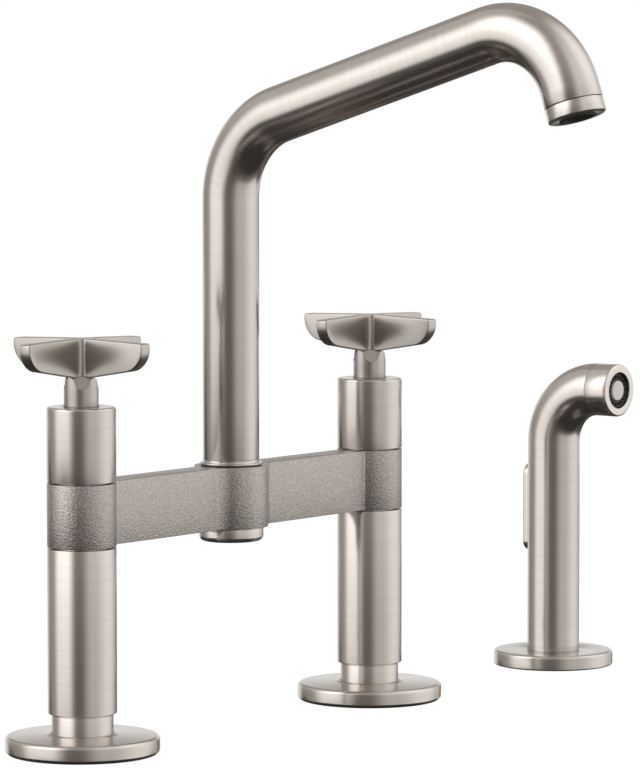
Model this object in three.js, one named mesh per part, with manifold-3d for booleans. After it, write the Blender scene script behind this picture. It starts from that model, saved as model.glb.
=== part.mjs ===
// Bridge kitchen faucet with cross handles, an angular swivel spout and a side spray.
// Millimetres. X runs along the bridge, -Y points to the sink, +Z is up, and Z = 0 is the top
// of the deck. The origin is midway between the two valves, under the spout.

import * as THREE from 'three';
import { mergeVertices } from 'three/addons/utils/BufferGeometryUtils.js';
import Module from 'manifold-3d';

const wasm = await Module();
wasm.setup();

// ---------------------------------------------------------------- driving dimensions

// Fits
const play = 0.3;                  // running gap between turned pieces, and at their ends
const seam = 0.6;                  // dark groove between a sleeve and the bridge casting
const seamEdge = 0.2;              // eased edge of a sleeve at that groove
const discFilm = 0.1;              // between the two ceramic discs

// Layout
const valveSpacing = 203.2;        // centre to centre of the hot and cold valves
const sprayDistance = 148.3;       // cold valve to side spray
const deckThickness = 30;          // counter clamped between the flanges and the washers

// Deck flange and gasket of a valve
const flangeRadius = 33.5;
const flangeThickness = 7;
const flangeTopRound = 1.8;
const flangeFootRound = 0.8;
const flangeCrown = 1;             // rise of the flange's face towards the collar
const flangeLip = 0.9;             // flat land round the collar
const gasketThickness = 0.8;
const gasketInset = 1.2;           // gasket's edge inside the flange's edge

// Valve body
const collarRadius = 13.4;
const collarLength = 8.6;          // bare length above the flange
const neckDepth = 0.5;             // groove under the lower sleeve's foot
const neckHeight = 0.6;
const coreRadius = 12.2;           // inside the sleeves and the bridge ring
const shankRadius = 10.4;
const shankLength = 58;            // below the deck
const inletBore = 6;
const cavityRadius = 9.2;          // for the cartridge
const seatBelowPort = 12.6;        // cartridge seat below the bridge's water way
const headAboveBand = 16.3;        // body's top above the bridge
const waterWayRadius = 4.5;

// Sleeves and bridge
const sleeveRadius = 15;
const sleeveWall = 1.8;
const sleeveEdge = 1;
const lowerSleeveFoot = 3;         // inward lip that seats on the collar
const lowerSleeveLength = 71.7;
const upperSleeveLength = 32.3;
const sleeveCapThickness = 2.8;
const bandHeight = 27.5;
const bandThickness = 14.4;        // of an arm
const bandFillet = 3;              // between an arm and a ring
const hubRadius = 16.6;

// Cartridge
const sealHeight = 2.3;
const sealInnerRadius = 6.3;
const cartridgeWall = 1.5;
const cartridgeLength = 34;
const cartridgeTop = 4;
const discThickness = 3;
const discOpening = 5.9;           // outer radius of the disc's two openings
const discHub = 1.8;               // inner radius of the openings
const discWeb = 30;                // degrees of disc left at each side of an opening
const windowWidth = 7;
const windowHeight = 7;
const tangWidth = 6;
const tangThickness = 2.4;
const tangDepth = 1.3;             // into the moving disc
const spindleRadius = 4;
const spindleReach = 16.4;         // above the upper sleeve
const nutFlangeRadius = 10.8;
const nutFlangeHeight = 5;
const nutSkirtLength = 5.8;

// Cross handle
const bladeReach = 36.4;           // axis to a blade's end
const bladeThickness = 6;
const bladeFillet = 2.6;           // upright fillet between two blades
const handleHeight = 29.4;         // middle of the cross above the upper sleeve
const bladeRootDepth = 16.5;       // underside near the axis, below the middle of the top
const bladeEndDepth = 11.7;        // underside near the end, below the middle of the top
const bladeDroop = 0.9;            // fall of the top from the middle to a blade's end
const bladeCornerRadius = 7;       // lower outer corner of a blade
const bladeTopRound = 0.9;         // upper outer corner of a blade
const stemRadius = 7.5;
const stemPlay = 0.5;              // running gap round the stem in the sleeve's cap
const stemTuck = 6;                // stem inside the sleeve's cap
const scoopDepth = 5.2;            // below the blades, in the stem's top
const scoopWidth = 6.6;
const setScrewRadius = 1.9;
const setScrewHeight = 5.5;        // above the upper sleeve
const socketRadius = 1;

// Deck washers and nuts
const washerThickness = 2;
const washerRadius = 24;
const nutFlats = 30;
const nutHeight = 9;

// Spout
const tubeRadius = 12.7;
const tubeWall = 1.6;
const cornerHeight = 265.6;        // where the upright and the slope's centrelines meet
const slope = 17;                  // degrees above the horizontal
const slopeRun = 173.5;            // level distance between the two corners
const firstBend = 40;              // centreline radii
const secondBend = 34.5;
const secondTurn = 89;             // degrees
const tipBelowCorner = 46.5;       // outlet face from the second corner, along the tip
const spoutFlangeRadius = 14.1;
const spoutFlangeHeight = 2.1;

// Spout swivel, inside the hub
const nippleRadius = 12;
const nippleBore = 8;
const nippleSpigot = 20;           // inside the tube
const webAboveBand = 2;            // hub's floor, above the underside of the bridge
const webThickness = 2.2;
const ringGrooveDepth = 1.6;
const ringGrooveHeight = 2.4;
const ringCord = 1.5;              // O-ring cord diameter
const thrustRingWidth = 1.1;
const lowerRingRise = 1;           // groove above the nipple's foot
const upperRingRise = 15.4;
const nippleFloor = 3.4;
const nippleBossRadius = 5;
const nippleBossHeight = 6.8;
const nipplePort = 3.5;
const nipplePortRise = 2;          // ports above the middle of the bridge
const screwRadius = 2.7;
const screwLength = 8.6;
const screwHeadRadius = 5;
const screwHeadHeight = 3.4;
const hexSocketRadius = 2.4;
const retainerRadius = 9;
const retainerThickness = 1.2;
const capRadius = 14.5;
const capHeight = 6.4;
const capEdge = 2.6;
const capWall = 1.7;

// Aerator
const tipRingLength = 6.4;
const tipRingRound = 1.2;          // outer edge of the outlet
const tipRingLand = 4.2;           // width of the outlet's rim
const tipRingBevel = 0.4;
const tipRingSpigot = 7;
const aeratorWall = 1.2;
const aeratorProud = 0.5;          // beyond the rim
const aeratorDepth = 11;
const screenRecess = 1.2;          // inside the aerator's face
const screenThickness = 2.4;
const screenHoles = 8;
const screenHoleRadius = 1.2;
const screenPitchRadius = 4.2;

// Side spray
const sprayFlangeRadius = 29.15;
const sprayFlangeThickness = 7.2;
const sprayFlangeRound = 1.6;
const sprayFlangeLip = 2.6;
const guideRadius = 15;
const guideWall = 1.8;
const guideLength = 45;            // below the deck
const bushWall = 1;
const bushLength = 42;
const sprayRadius = 12.7;
const sprayWall = 2;
const spigotWall = 2;
const spigotLength = 31.8;
const sprayBend = 26.5;
const sprayAxisHeight = 136.4;     // of the outlet
const noseLength = 11.9;
const noseEdge = 1.2;
const noseBore = 8.7;
const noseSpigot = 2.2;
const nozzleRecess = 1.4;
const nozzleThickness = 3;
const nozzleCount = 18;
const nozzleBumpRadius = 0.6;
const nozzleBumpHeight = 0.8;
const centreDiscRadius = 4.8;
const centreDiscLength = 4;
const sprayNutFlats = 38;
const nippleHexFlats = 18.4;
const nippleHexHeight = 6;
const barbRadius = 5.5;
const barbLength = 16;
const hoseBore = 3.5;

// Spray trigger and valve
const paddleWidth = 10;
const paddleFoot = 55.3;
const paddleHead = 98.1;
const paddleProud = 2.5;
const paddleThickness = 6.2;
const paddlePlay = 0.8;            // round the paddle in its window
const pivotInset = 5.1;            // pivot inside the body's surface
const pivotBelowHead = 6.7;
const pivotRadius = 0.9;
const pivotHalfLength = 8.4;
const lugRadius = 2.5;
const pinBelowPivot = 26;
const pinRadius = 2;
const housingHeight = 20;
const housingFlat = 6;             // flat towards the paddle, from the axis
const pinCollarRadius = 3.5;
const pinCollarLength = 2;
const springLength = 7;
const springTurns = 4;
const springWire = 0.9;
const springGap = 0.2;
const spraySmallBore = 3;

// Facets
const fine = 24;                   // sides of a piece that shows
const coarse = 16;                 // sides of a piece inside
const firstBendSteps = 7;
const secondBendSteps = 9;
const sprayBendSteps = 10;
const smallRound = 1;              // a rounded corner below this radius is one facet
const largeRound = 3;              // and has finer facets from this one on

// ---------------------------------------------------------------- derived heights

const flangeTop = gasketThickness + flangeThickness;
const collarTop = flangeTop + flangeCrown + collarLength;
const bandBase = collarTop + lowerSleeveLength + seam;
const bandTop = bandBase + bandHeight;
const bandMiddle = bandBase + bandHeight / 2;
const upperSleeveBase = bandTop + seam;
const upperSleeveTop = upperSleeveBase + upperSleeveLength;
const bodyTop = bandTop + headAboveBand;
const seatHeight = bandMiddle - seatBelowPort;
const handleTop = upperSleeveTop + handleHeight;
const radians = THREE.MathUtils.degToRad;

// ---------------------------------------------------------------- finishes

const finish = (color, roughness, metalness) =>
  new THREE.MeshStandardMaterial({ color, roughness, metalness });
const nickel = finish(0xb0a69c, 0.32, 1);
const castNickel = finish(0xa0978e, 0.55, 1);
const brass = finish(0xc2a15a, 0.4, 1);
const steel = finish(0xa8abae, 0.35, 1);
const ceramic = finish(0xf0ece4, 0.25, 0);
const rubber = finish(0x1c1c1c, 0.8, 0);
const blackPlastic = finish(0x161616, 0.5, 0);
const palePlastic = finish(0xd9d6cf, 0.45, 0);

// ---------------------------------------------------------------- outlines

// Points of an arc, from angle a to angle b in radians.
function arc(x, y, radius, a, b, step = 2 * Math.PI / fine) {
  const count = Math.max(1, Math.ceil(Math.abs(b - a) / step - 1e-6));
  return Array.from({ length: count + 1 }, (_, i) => {
    const angle = a + (b - a) * i / count;
    return new THREE.Vector2(x + radius * Math.cos(angle), y + radius * Math.sin(angle));
  });
}

// Step of a rounded corner's arc: a small edge is one facet, a large one a few.
function easing(radius) {
  if (radius < smallRound) return Math.PI;
  return radius < largeRound ? Math.PI / 4 : Math.PI / 8;
}

// Closed outline from corners [x, y, radius], where a corner with a radius is rounded.
function rounded(corners) {
  return corners.flatMap(([x, y, radius = 0], i) => {
    const corner = new THREE.Vector2(x, y);
    if (!radius) return [corner];
    const [px, py] = corners.at(i - 1);
    const [nx, ny] = corners[(i + 1) % corners.length];
    const back = new THREE.Vector2(px - x, py - y).normalize();
    const ahead = new THREE.Vector2(nx - x, ny - y).normalize();
    const half = Math.acos(THREE.MathUtils.clamp(back.dot(ahead), -1, 1)) / 2;
    const centre = back.clone().add(ahead).setLength(radius / Math.sin(half)).add(corner);
    const start = back.multiplyScalar(radius / Math.tan(half)).add(corner).sub(centre).angle();
    const end = ahead.multiplyScalar(radius / Math.tan(half)).add(corner).sub(centre).angle();
    const sweep = Math.atan2(Math.sin(end - start), Math.cos(end - start));
    return arc(centre.x, centre.y, radius, start, start + sweep, easing(radius));
  });
}

// Polygon with a number of flats, its flats a given distance apart.
function flatted(acrossFlats, sides = 6) {
  return arc(0, 0, acrossFlats / 2 / Math.cos(Math.PI / sides), 0, 2 * Math.PI, 2 * Math.PI / sides)
    .slice(0, sides);
}

const circle = (radius, sides = fine, x = 0, y = 0) =>
  arc(x, y, radius, 0, 2 * Math.PI, 2 * Math.PI / sides).slice(0, -1);

// ---------------------------------------------------------------- solids

// Closed profile of [radius, height, rounding] corners turned about Z.
function turned(corners, sides = fine) {
  const profile = rounded(corners);
  if (THREE.ShapeUtils.area(profile) < 0) profile.reverse();
  const onAxis = profile.some((point) => point.x < 1e-9);
  if (onAxis) {
    while (!(profile[0].x < 1e-9 && profile.at(-1).x < 1e-9)) profile.push(profile.shift());
  } else {
    profile.push(profile[0].clone());
  }
  return new THREE.LatheGeometry(profile, sides).rotateX(Math.PI / 2);
}

// Plain round bar or tube between two heights, its outer edges eased.
function tube(outer, inner, base, top, edge = 0, sides = fine) {
  return turned([[inner, base], [outer, base, edge], [outer, top, edge], [inner, top]], sides);
}

// Outline in XY raised along Z from base, with holes.
function raised(outline, base, height, holes = []) {
  const shape = new THREE.Shape(outline);
  shape.holes = holes.map((hole) => new THREE.Path(hole));
  return new THREE.ExtrudeGeometry(shape, { depth: height, bevelEnabled: false, curveSegments: 1 })
    .translate(0, 0, base);
}

// Round bar along X, Y or Z through a point.
function bar(axis, radius, length, x, y, z, sides = coarse) {
  const geometry = new THREE.CylinderGeometry(radius, radius, length, sides);
  if (axis === 'x') geometry.rotateZ(Math.PI / 2);
  if (axis === 'z') geometry.rotateX(Math.PI / 2);
  return geometry.translate(x, y, z);
}

const block = (width, depth, height, x, y, z) =>
  new THREE.BoxGeometry(width, depth, height).translate(x, y, z);

// Centreline in the YZ plane made of straights and arcs. Each straight is one step and each
// arc a few, so a swept tube has its rings only where it bends.
class BentLine extends THREE.Curve {
  constructor(start, heading) {
    super();
    this.stations = [{ point: start.clone(), heading }];
  }

  // Heading is the angle above the -Y direction, in radians.
  static direction(heading) {
    return new THREE.Vector3(0, -Math.cos(heading), Math.sin(heading));
  }

  straight(length) {
    const { point, heading } = this.stations.at(-1);
    const next = point.clone().addScaledVector(BentLine.direction(heading), length);
    this.stations.push({ point: next, heading });
    return this;
  }

  // Bends down towards the sink by a number of radians.
  bend(radius, turn, steps) {
    const { point, heading } = this.stations.at(-1);
    const centre = point.clone().addScaledVector(BentLine.direction(heading - Math.PI / 2), radius);
    for (let i = 1; i <= steps; i += 1) {
      const now = heading - turn * i / steps;
      const next = centre.clone().addScaledVector(BentLine.direction(now + Math.PI / 2), radius);
      this.stations.push({ point: next, heading: now });
    }
    return this;
  }

  getPoint(t) {
    const place = t * (this.stations.length - 1);
    const i = Math.min(Math.floor(place), this.stations.length - 2);
    return this.stations[i].point.clone().lerp(this.stations[i + 1].point, place - i);
  }

  getPointAt(u) {
    return this.getPoint(u);
  }

  getTangentAt(u) {
    const place = u * (this.stations.length - 1);
    const i = Math.min(Math.floor(place + 1e-9), this.stations.length - 1);
    return BentLine.direction(this.stations[i].heading);
  }
}

// Tube swept along a bent line.
function swept(line, outer, inner, sides = fine) {
  const shape = new THREE.Shape(circle(outer, sides));
  shape.holes = [new THREE.Path(circle(inner, coarse))];
  return new THREE.ExtrudeGeometry(shape, {
    steps: line.stations.length - 1, extrudePath: line, curveSegments: 1,
  });
}

// ---------------------------------------------------------------- booleans

function toSolid(geometry) {
  const bare = geometry.clone();
  bare.deleteAttribute('normal');
  bare.deleteAttribute('uv');
  const merged = mergeVertices(bare, 1e-4);
  return new wasm.Manifold(new wasm.Mesh({
    numProp: 3,
    vertProperties: Float32Array.from(merged.attributes.position.array),
    triVerts: Uint32Array.from(merged.index.array),
  }));
}

function toGeometry(solid) {
  const mesh = solid.getMesh();
  const geometry = new THREE.BufferGeometry();
  geometry.setAttribute('position', new THREE.BufferAttribute(mesh.vertProperties, 3));
  geometry.setIndex(new THREE.BufferAttribute(mesh.triVerts, 1));
  return geometry;
}

const cut = (geometry, ...tools) =>
  toGeometry(tools.reduce((solid, tool) => solid.subtract(toSolid(tool)), toSolid(geometry)));
const join = (geometry, ...others) =>
  toGeometry(others.reduce((solid, other) => solid.add(toSolid(other)), toSolid(geometry)));
const common = (geometry, other) => toGeometry(toSolid(geometry).intersect(toSolid(other)));

// ---------------------------------------------------------------- assembly helpers

function piece(name, geometry, material) {
  const mesh = new THREE.Mesh(geometry, material);
  mesh.name = name;
  return mesh;
}

function group(x, y, z, ...children) {
  const holder = new THREE.Group();
  holder.position.set(x, y, z);
  if (children.length) holder.add(...children);
  return holder;
}

// ---------------------------------------------------------------- valve station

function deckGasket() {
  return tube(flangeRadius - gasketInset, shankRadius + play, 0, gasketThickness);
}

function deckFlange() {
  const hole = collarRadius + play;
  return turned([
    [hole, gasketThickness],
    [flangeRadius, gasketThickness, flangeFootRound],
    [flangeRadius, flangeTop, flangeTopRound],
    [hole + flangeLip, flangeTop + flangeCrown],
    [hole, flangeTop + flangeCrown],
  ]);
}

// One turned body: inlet shank, visible collar and the core that carries the sleeves, with a
// water way that opens towards the bridge.
function valveBody(towardsHub) {
  const body = turned([
    [inletBore, -shankLength],
    [shankRadius, -shankLength, 0.8],
    [shankRadius, gasketThickness],
    [collarRadius, gasketThickness],
    [collarRadius, collarTop - neckHeight],
    [collarRadius - neckDepth, collarTop - neckHeight],
    [collarRadius - neckDepth, collarTop],
    [coreRadius, collarTop],
    [coreRadius, bodyTop],
    [cavityRadius, bodyTop],
    [cavityRadius, seatHeight],
    [inletBore, seatHeight],
  ]);
  const reach = coreRadius + play;
  return cut(body, bar('x', waterWayRadius, reach, towardsHub * reach / 2, 0, bandMiddle));
}

function lowerSleeve() {
  const bore = sleeveRadius - sleeveWall;
  const base = collarTop;
  const top = collarTop + lowerSleeveLength;
  return turned([
    [coreRadius + play, base],
    [sleeveRadius, base, sleeveEdge],
    [sleeveRadius, top, seamEdge],
    [bore, top],
    [bore, base + lowerSleeveFoot],
    [coreRadius + play, base + lowerSleeveFoot],
  ]);
}

function upperSleeve() {
  const bore = coreRadius + play;
  const hole = stemRadius + stemPlay;
  return turned([
    [bore, upperSleeveBase],
    [sleeveRadius, upperSleeveBase, seamEdge],
    [sleeveRadius, upperSleeveTop, sleeveEdge],
    [hole, upperSleeveTop],
    [hole, upperSleeveTop - sleeveCapThickness],
    [bore, upperSleeveTop - sleeveCapThickness],
  ]);
}

const cartridgeRadius = cavityRadius - play;
const cartridgeBore = cartridgeRadius - cartridgeWall;
const cartridgeBase = seatHeight + sealHeight;
const cartridgeHead = cartridgeBase + cartridgeLength;
const discRadius = cartridgeBore - play;
const movingDiscBase = cartridgeBase + discThickness + discFilm;
const movingDiscTop = movingDiscBase + discThickness;
const drumBase = bandMiddle + windowHeight / 2 + play;
const drumTop = cartridgeHead - cartridgeTop - play;

function seatSeal() {
  return tube(cartridgeRadius, sealInnerRadius, seatHeight, cartridgeBase, 0, coarse);
}

// Ceramic disc with two opposite openings.
function ceramicDisc(base) {
  const web = radians(discWeb);
  const openings = [0, Math.PI].map((turn) => [
    ...arc(0, 0, discOpening, turn + web, turn + Math.PI - web),
    ...arc(0, 0, discHub, turn + Math.PI - web, turn + web),
  ]);
  return raised(circle(discRadius, coarse), base, discThickness, openings);
}

function movingDisc() {
  const slot = block(tangWidth + 2 * play, tangThickness + 2 * play, tangDepth + play,
    0, 0, movingDiscTop - (tangDepth + play) / 2 + play / 4);
  return cut(ceramicDisc(movingDiscBase), slot);
}

function cartridgeBody() {
  const body = turned([
    [cartridgeBore, cartridgeBase],
    [cartridgeRadius, cartridgeBase],
    [cartridgeRadius, cartridgeHead],
    [spindleRadius + play, cartridgeHead],
    [spindleRadius + play, cartridgeHead - cartridgeTop],
    [cartridgeBore, cartridgeHead - cartridgeTop],
  ], coarse);
  return cut(body, block(2 * cavityRadius, windowWidth, windowHeight, 0, 0, bandMiddle));
}

const spindleTop = upperSleeveTop + spindleReach;

function spindle() {
  const shaft = turned([
    [0, drumBase],
    [discRadius, drumBase],
    [discRadius, drumTop],
    [spindleRadius, drumTop],
    [spindleRadius, spindleTop, 0.6],
    [0, spindleTop],
  ], coarse);
  const tangBase = movingDiscTop - tangDepth;
  const tangTop = drumBase + 1;
  return join(shaft, block(tangWidth, tangThickness, tangTop - tangBase,
    0, 0, (tangTop + tangBase) / 2));
}

function bonnetNut() {
  const seat = bodyTop + play;
  const hex = raised(flatted(2 * nutFlangeRadius * Math.cos(Math.PI / 6)), seat, nutFlangeHeight);
  const skirtBase = Math.max(cartridgeHead + play, bodyTop - nutSkirtLength);
  const skirt = tube(cartridgeRadius, spindleRadius + play, skirtBase, seat + 1, 0, coarse);
  return cut(join(hex, skirt),
    bar('z', spindleRadius + play, 4 * nutFlangeHeight, 0, 0, seat + nutFlangeHeight));
}

// Plan of the cross: four straight blades with an upright fillet in each inner corner.
function crossPlan() {
  const half = bladeThickness / 2;
  const centre = half + bladeFillet;
  return [0, 1, 2, 3].flatMap((quarter) => {
    const turn = quarter * Math.PI / 2;
    const corner = [
      new THREE.Vector2(bladeReach, -half),
      new THREE.Vector2(bladeReach, half),
      ...arc(centre, centre, bladeFillet, 1.5 * Math.PI, Math.PI, Math.PI / 6),
    ];
    return corner.map((point) => point.rotateAround(new THREE.Vector2(), turn));
  });
}

// Cutters for the scoops that carry the inner corners of the cross down into the stem.
function rootScoops(root) {
  const corner = bladeThickness / 2 + bladeFillet;
  const reach = Math.SQRT2 * corner - bladeFillet;
  return [1, 3, 5, 7].map((eighth) =>
    slotBlock(scoopWidth, root - scoopDepth, handleTop, reach, 2 * stemRadius)
      .rotateZ(eighth * Math.PI / 4));
}

// The blades are the plan raised and trimmed to a turned envelope: its underside climbs
// outwards to a round corner, and its top falls a little towards the rim.
function crossHandle() {
  const root = handleTop - bladeRootDepth;
  const end = handleTop - bladeEndDepth;
  const rim = Math.hypot(bladeReach, bladeThickness / 2) + play;
  const envelope = turned([
    [0, root],
    [stemRadius, root],
    [rim, end, bladeCornerRadius],
    [rim, handleTop - bladeDroop, bladeTopRound],
    [0, handleTop],
  ]);
  const blades = common(raised(crossPlan(), root - 1, bladeRootDepth + 2), envelope);
  const stem = cut(tube(stemRadius, 0, upperSleeveTop - stemTuck, root + 1), ...rootScoops(root));
  const socket = bar('z', spindleRadius + play, 2 * (spindleReach + stemTuck + play), 0, 0,
    upperSleeveTop - stemTuck, coarse);
  const screwHole = bar('y', setScrewRadius + play, stemRadius + 1, 0, (stemRadius + 1) / 2,
    upperSleeveTop + setScrewHeight, coarse);
  return cut(join(stem, blades), socket, screwHole);
}

function setScrew() {
  const inner = spindleRadius + play;
  const length = stemRadius - inner - play;
  const height = upperSleeveTop + setScrewHeight;
  const middle = inner + length / 2;
  const socket = raised(flatted(2 * socketRadius), 0, length).rotateX(-Math.PI / 2)
    .translate(0, middle, height);
  return cut(bar('y', setScrewRadius, length, 0, middle, height, coarse), socket);
}

function clampWasher(bore, radius) {
  return tube(radius, bore + play, -deckThickness - washerThickness, -deckThickness);
}

function clampNut(bore, flats, height) {
  const top = -deckThickness - washerThickness;
  return raised(flatted(flats), top - height, height, [circle(bore + play, fine)]);
}

function valveStation(side, towardsHub) {
  const name = (part) => `${side}_${part}`;
  return group(-towardsHub * valveSpacing / 2, 0, 0,
    piece(name('deck_gasket'), deckGasket(), rubber),
    piece(name('deck_flange'), deckFlange(), nickel),
    piece(name('valve_body'), valveBody(towardsHub), nickel),
    piece(name('deck_washer'), clampWasher(shankRadius, washerRadius), steel),
    piece(name('mounting_nut'), clampNut(shankRadius, nutFlats, nutHeight), brass),
    piece(name('lower_sleeve'), lowerSleeve(), nickel),
    piece(name('upper_sleeve'), upperSleeve(), nickel),
    piece(name('seat_seal'), seatSeal(), rubber),
    piece(name('fixed_disc'), ceramicDisc(cartridgeBase), ceramic),
    piece(name('moving_disc'), movingDisc(), ceramic),
    piece(name('cartridge_body'), cartridgeBody(), brass),
    piece(name('spindle'), spindle(), brass),
    piece(name('bonnet_nut'), bonnetNut(), brass),
    piece(name('cross_handle'), crossHandle(), nickel),
    piece(name('set_screw'), setScrew(), steel));
}

// ---------------------------------------------------------------- bridge

// Half of the bridge's outline, from the hub's left side to the far side of the cold ring.
function halfBridgeOutline() {
  const half = bandThickness / 2;
  const offset = half + bandFillet;
  const spread = (radius) => Math.asin(offset / (radius + bandFillet));
  const hub = spread(hubRadius);
  const ring = spread(sleeveRadius);
  const hubRun = (hubRadius + bandFillet) * Math.cos(hub);
  const ringRun = valveSpacing / 2 - (sleeveRadius + bandFillet) * Math.cos(ring);
  const up = Math.PI / 2;
  const small = Math.PI / 8;
  return [
    ...arc(-hubRun, -offset, bandFillet, up, hub, small),
    ...arc(0, 0, hubRadius, Math.PI + hub, 2 * Math.PI - hub).slice(1),
    ...arc(hubRun, -offset, bandFillet, Math.PI - hub, up, small).slice(1),
    ...arc(ringRun, -offset, bandFillet, up, ring, small),
    ...arc(valveSpacing / 2, 0, sleeveRadius, Math.PI + ring, 3 * Math.PI - ring).slice(1),
  ];
}

const hubBore = nippleRadius + play;
const webBase = bandBase + webAboveBand;
const webTop = webBase + webThickness;

// The bridge casting: two rings, a hub and the arms, with the water way along X.
function bridgeBody() {
  const half = halfBridgeOutline();
  const other = half.map((point) => point.clone().negate());
  const bore = coreRadius + play;
  const blank = raised([...half, ...other], bandBase, bandHeight, [
    circle(bore, fine, -valveSpacing / 2),
    circle(bore, fine, valveSpacing / 2),
    circle(screwHeadRadius, coarse),
  ]);
  return cut(blank,
    tube(hubBore, 0, webTop, bandTop + 1),
    tube(hubBore, 0, bandBase - 1, webBase),
    bar('x', waterWayRadius, valveSpacing, 0, 0, bandMiddle));
}

function hubCap() {
  const base = bandBase - capHeight;
  const cavity = hubBore - play - capWall;
  return turned([
    [0, base],
    [capRadius, base, capEdge],
    [capRadius, bandBase],
    [hubBore - play, bandBase],
    [hubBore - play, webBase - play],
    [cavity, webBase - play],
    [cavity, base + capWall],
    [0, base + capWall],
  ]);
}

// ---------------------------------------------------------------- spout

const spoutFlangeBase = bandTop + seam;
const spoutFlangeTop = spoutFlangeBase + spoutFlangeHeight;
const nippleFoot = webTop + play;

// Brass insert on which the spout swivels, with two O-ring grooves and a gallery between
// them that is fed by the bridge's water way.
function spoutNipple() {
  const groove = nippleRadius - ringGrooveDepth;
  const spigot = tubeRadius - tubeWall - play;
  const lower = nippleFoot + lowerRingRise;
  const upper = nippleFoot + upperRingRise;
  const body = turned([
    [0, nippleFoot],
    [nippleRadius, nippleFoot],
    [nippleRadius, lower],
    [groove, lower],
    [groove, lower + ringGrooveHeight],
    [nippleRadius, lower + ringGrooveHeight],
    [nippleRadius, bandMiddle - waterWayRadius],
    [groove, bandMiddle - waterWayRadius],
    [groove, bandMiddle + waterWayRadius],
    [nippleRadius, bandMiddle + waterWayRadius],
    [nippleRadius, upper],
    [groove, upper],
    [groove, upper + ringGrooveHeight],
    [nippleRadius, upper + ringGrooveHeight],
    [nippleRadius, spoutFlangeBase],
    [spoutFlangeRadius, spoutFlangeBase, 0.4],
    [spoutFlangeRadius, spoutFlangeTop, 0.6],
    [spigot, spoutFlangeTop],
    [spigot, spoutFlangeTop + nippleSpigot],
    [nippleBore, spoutFlangeTop + nippleSpigot],
    [nippleBore, nippleFoot + nippleFloor],
    [nippleBossRadius, nippleFoot + nippleFloor],
    [nippleBossRadius, nippleFoot + nippleBossHeight],
    [0, nippleFoot + nippleBossHeight],
  ], coarse);
  const through = 2 * (nippleRadius + 1);
  return cut(body,
    bar('x', nipplePort, through, 0, 0, bandMiddle + nipplePortRise, 8),
    bar('y', nipplePort, through, 0, 0, bandMiddle + nipplePortRise, 8),
    bar('z', screwRadius + play, 2 * (screwLength - webThickness), 0, 0, nippleFoot, 8));
}

function sealRing(base) {
  const radius = nippleRadius - (ringGrooveDepth - play) / 2;
  return new THREE.TorusGeometry(radius, ringCord / 2, 6, coarse)
    .translate(0, 0, base + ringGrooveHeight / 2);
}

function thrustRing() {
  return tube(hubBore + thrustRingWidth, hubBore, bandTop, spoutFlangeBase);
}

function retainer() {
  return tube(retainerRadius, screwRadius + play, webBase - retainerThickness, webBase, 0, coarse);
}

function retainingScrew() {
  const seat = webBase - retainerThickness;
  const body = turned([
    [0, seat - screwHeadHeight],
    [screwHeadRadius - play, seat - screwHeadHeight, 0.5],
    [screwHeadRadius - play, seat],
    [screwRadius, seat],
    [screwRadius, seat + screwLength],
    [0, seat + screwLength],
  ], coarse);
  return cut(body,
    raised(flatted(2 * hexSocketRadius), seat - screwHeadHeight - 1, screwHeadHeight - 0.2));
}

const firstTurn = Math.PI / 2 - radians(slope);
const tipTilt = radians(secondTurn - slope);   // tip below the level, as an angle

function spoutTube() {
  const firstSet = firstBend * Math.tan(firstTurn / 2);
  const secondSet = secondBend * Math.tan(radians(secondTurn) / 2);
  const slopeLength = slopeRun / Math.cos(radians(slope));
  const line = new BentLine(new THREE.Vector3(0, 0, spoutFlangeTop), Math.PI / 2)
    .straight(cornerHeight - firstSet - spoutFlangeTop)
    .bend(firstBend, firstTurn, firstBendSteps)
    .straight(slopeLength - firstSet - secondSet)
    .bend(secondBend, radians(secondTurn), secondBendSteps)
    .straight(tipBelowCorner - secondSet - tipRingLength - play);
  return swept(line, tubeRadius, tubeRadius - tubeWall);
}

// The pieces of the tip are turned about the tip's own axis, from the outlet face upwards.
function tipRing() {
  const bore = tubeRadius - tipRingLand;
  const spigot = tubeRadius - tubeWall - play;
  return turned([
    [bore - tipRingBevel, tipRingBevel],
    [bore, 0],
    [tubeRadius, 0, tipRingRound],
    [tubeRadius, tipRingLength],
    [spigot, tipRingLength],
    [spigot, tipRingLength + tipRingSpigot],
    [bore - tipRingBevel, tipRingLength + tipRingSpigot],
  ]);
}

const aeratorRadius = tubeRadius - tipRingLand - tipRingBevel - play;

function aeratorHousing() {
  const bore = aeratorRadius - aeratorWall;
  return tube(aeratorRadius, bore, -aeratorProud, aeratorDepth - aeratorProud, 0, coarse);
}

function aeratorScreen() {
  const holes = Array.from({ length: screenHoles }, (_, i) => {
    const angle = 2 * Math.PI * i / screenHoles;
    return circle(screenHoleRadius, 8, screenPitchRadius * Math.cos(angle),
      screenPitchRadius * Math.sin(angle));
  });
  holes.push(circle(screenHoleRadius, 8));
  const radius = aeratorRadius - aeratorWall - play;
  return raised(circle(radius, coarse), screenRecess - aeratorProud, screenThickness, holes);
}

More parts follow.
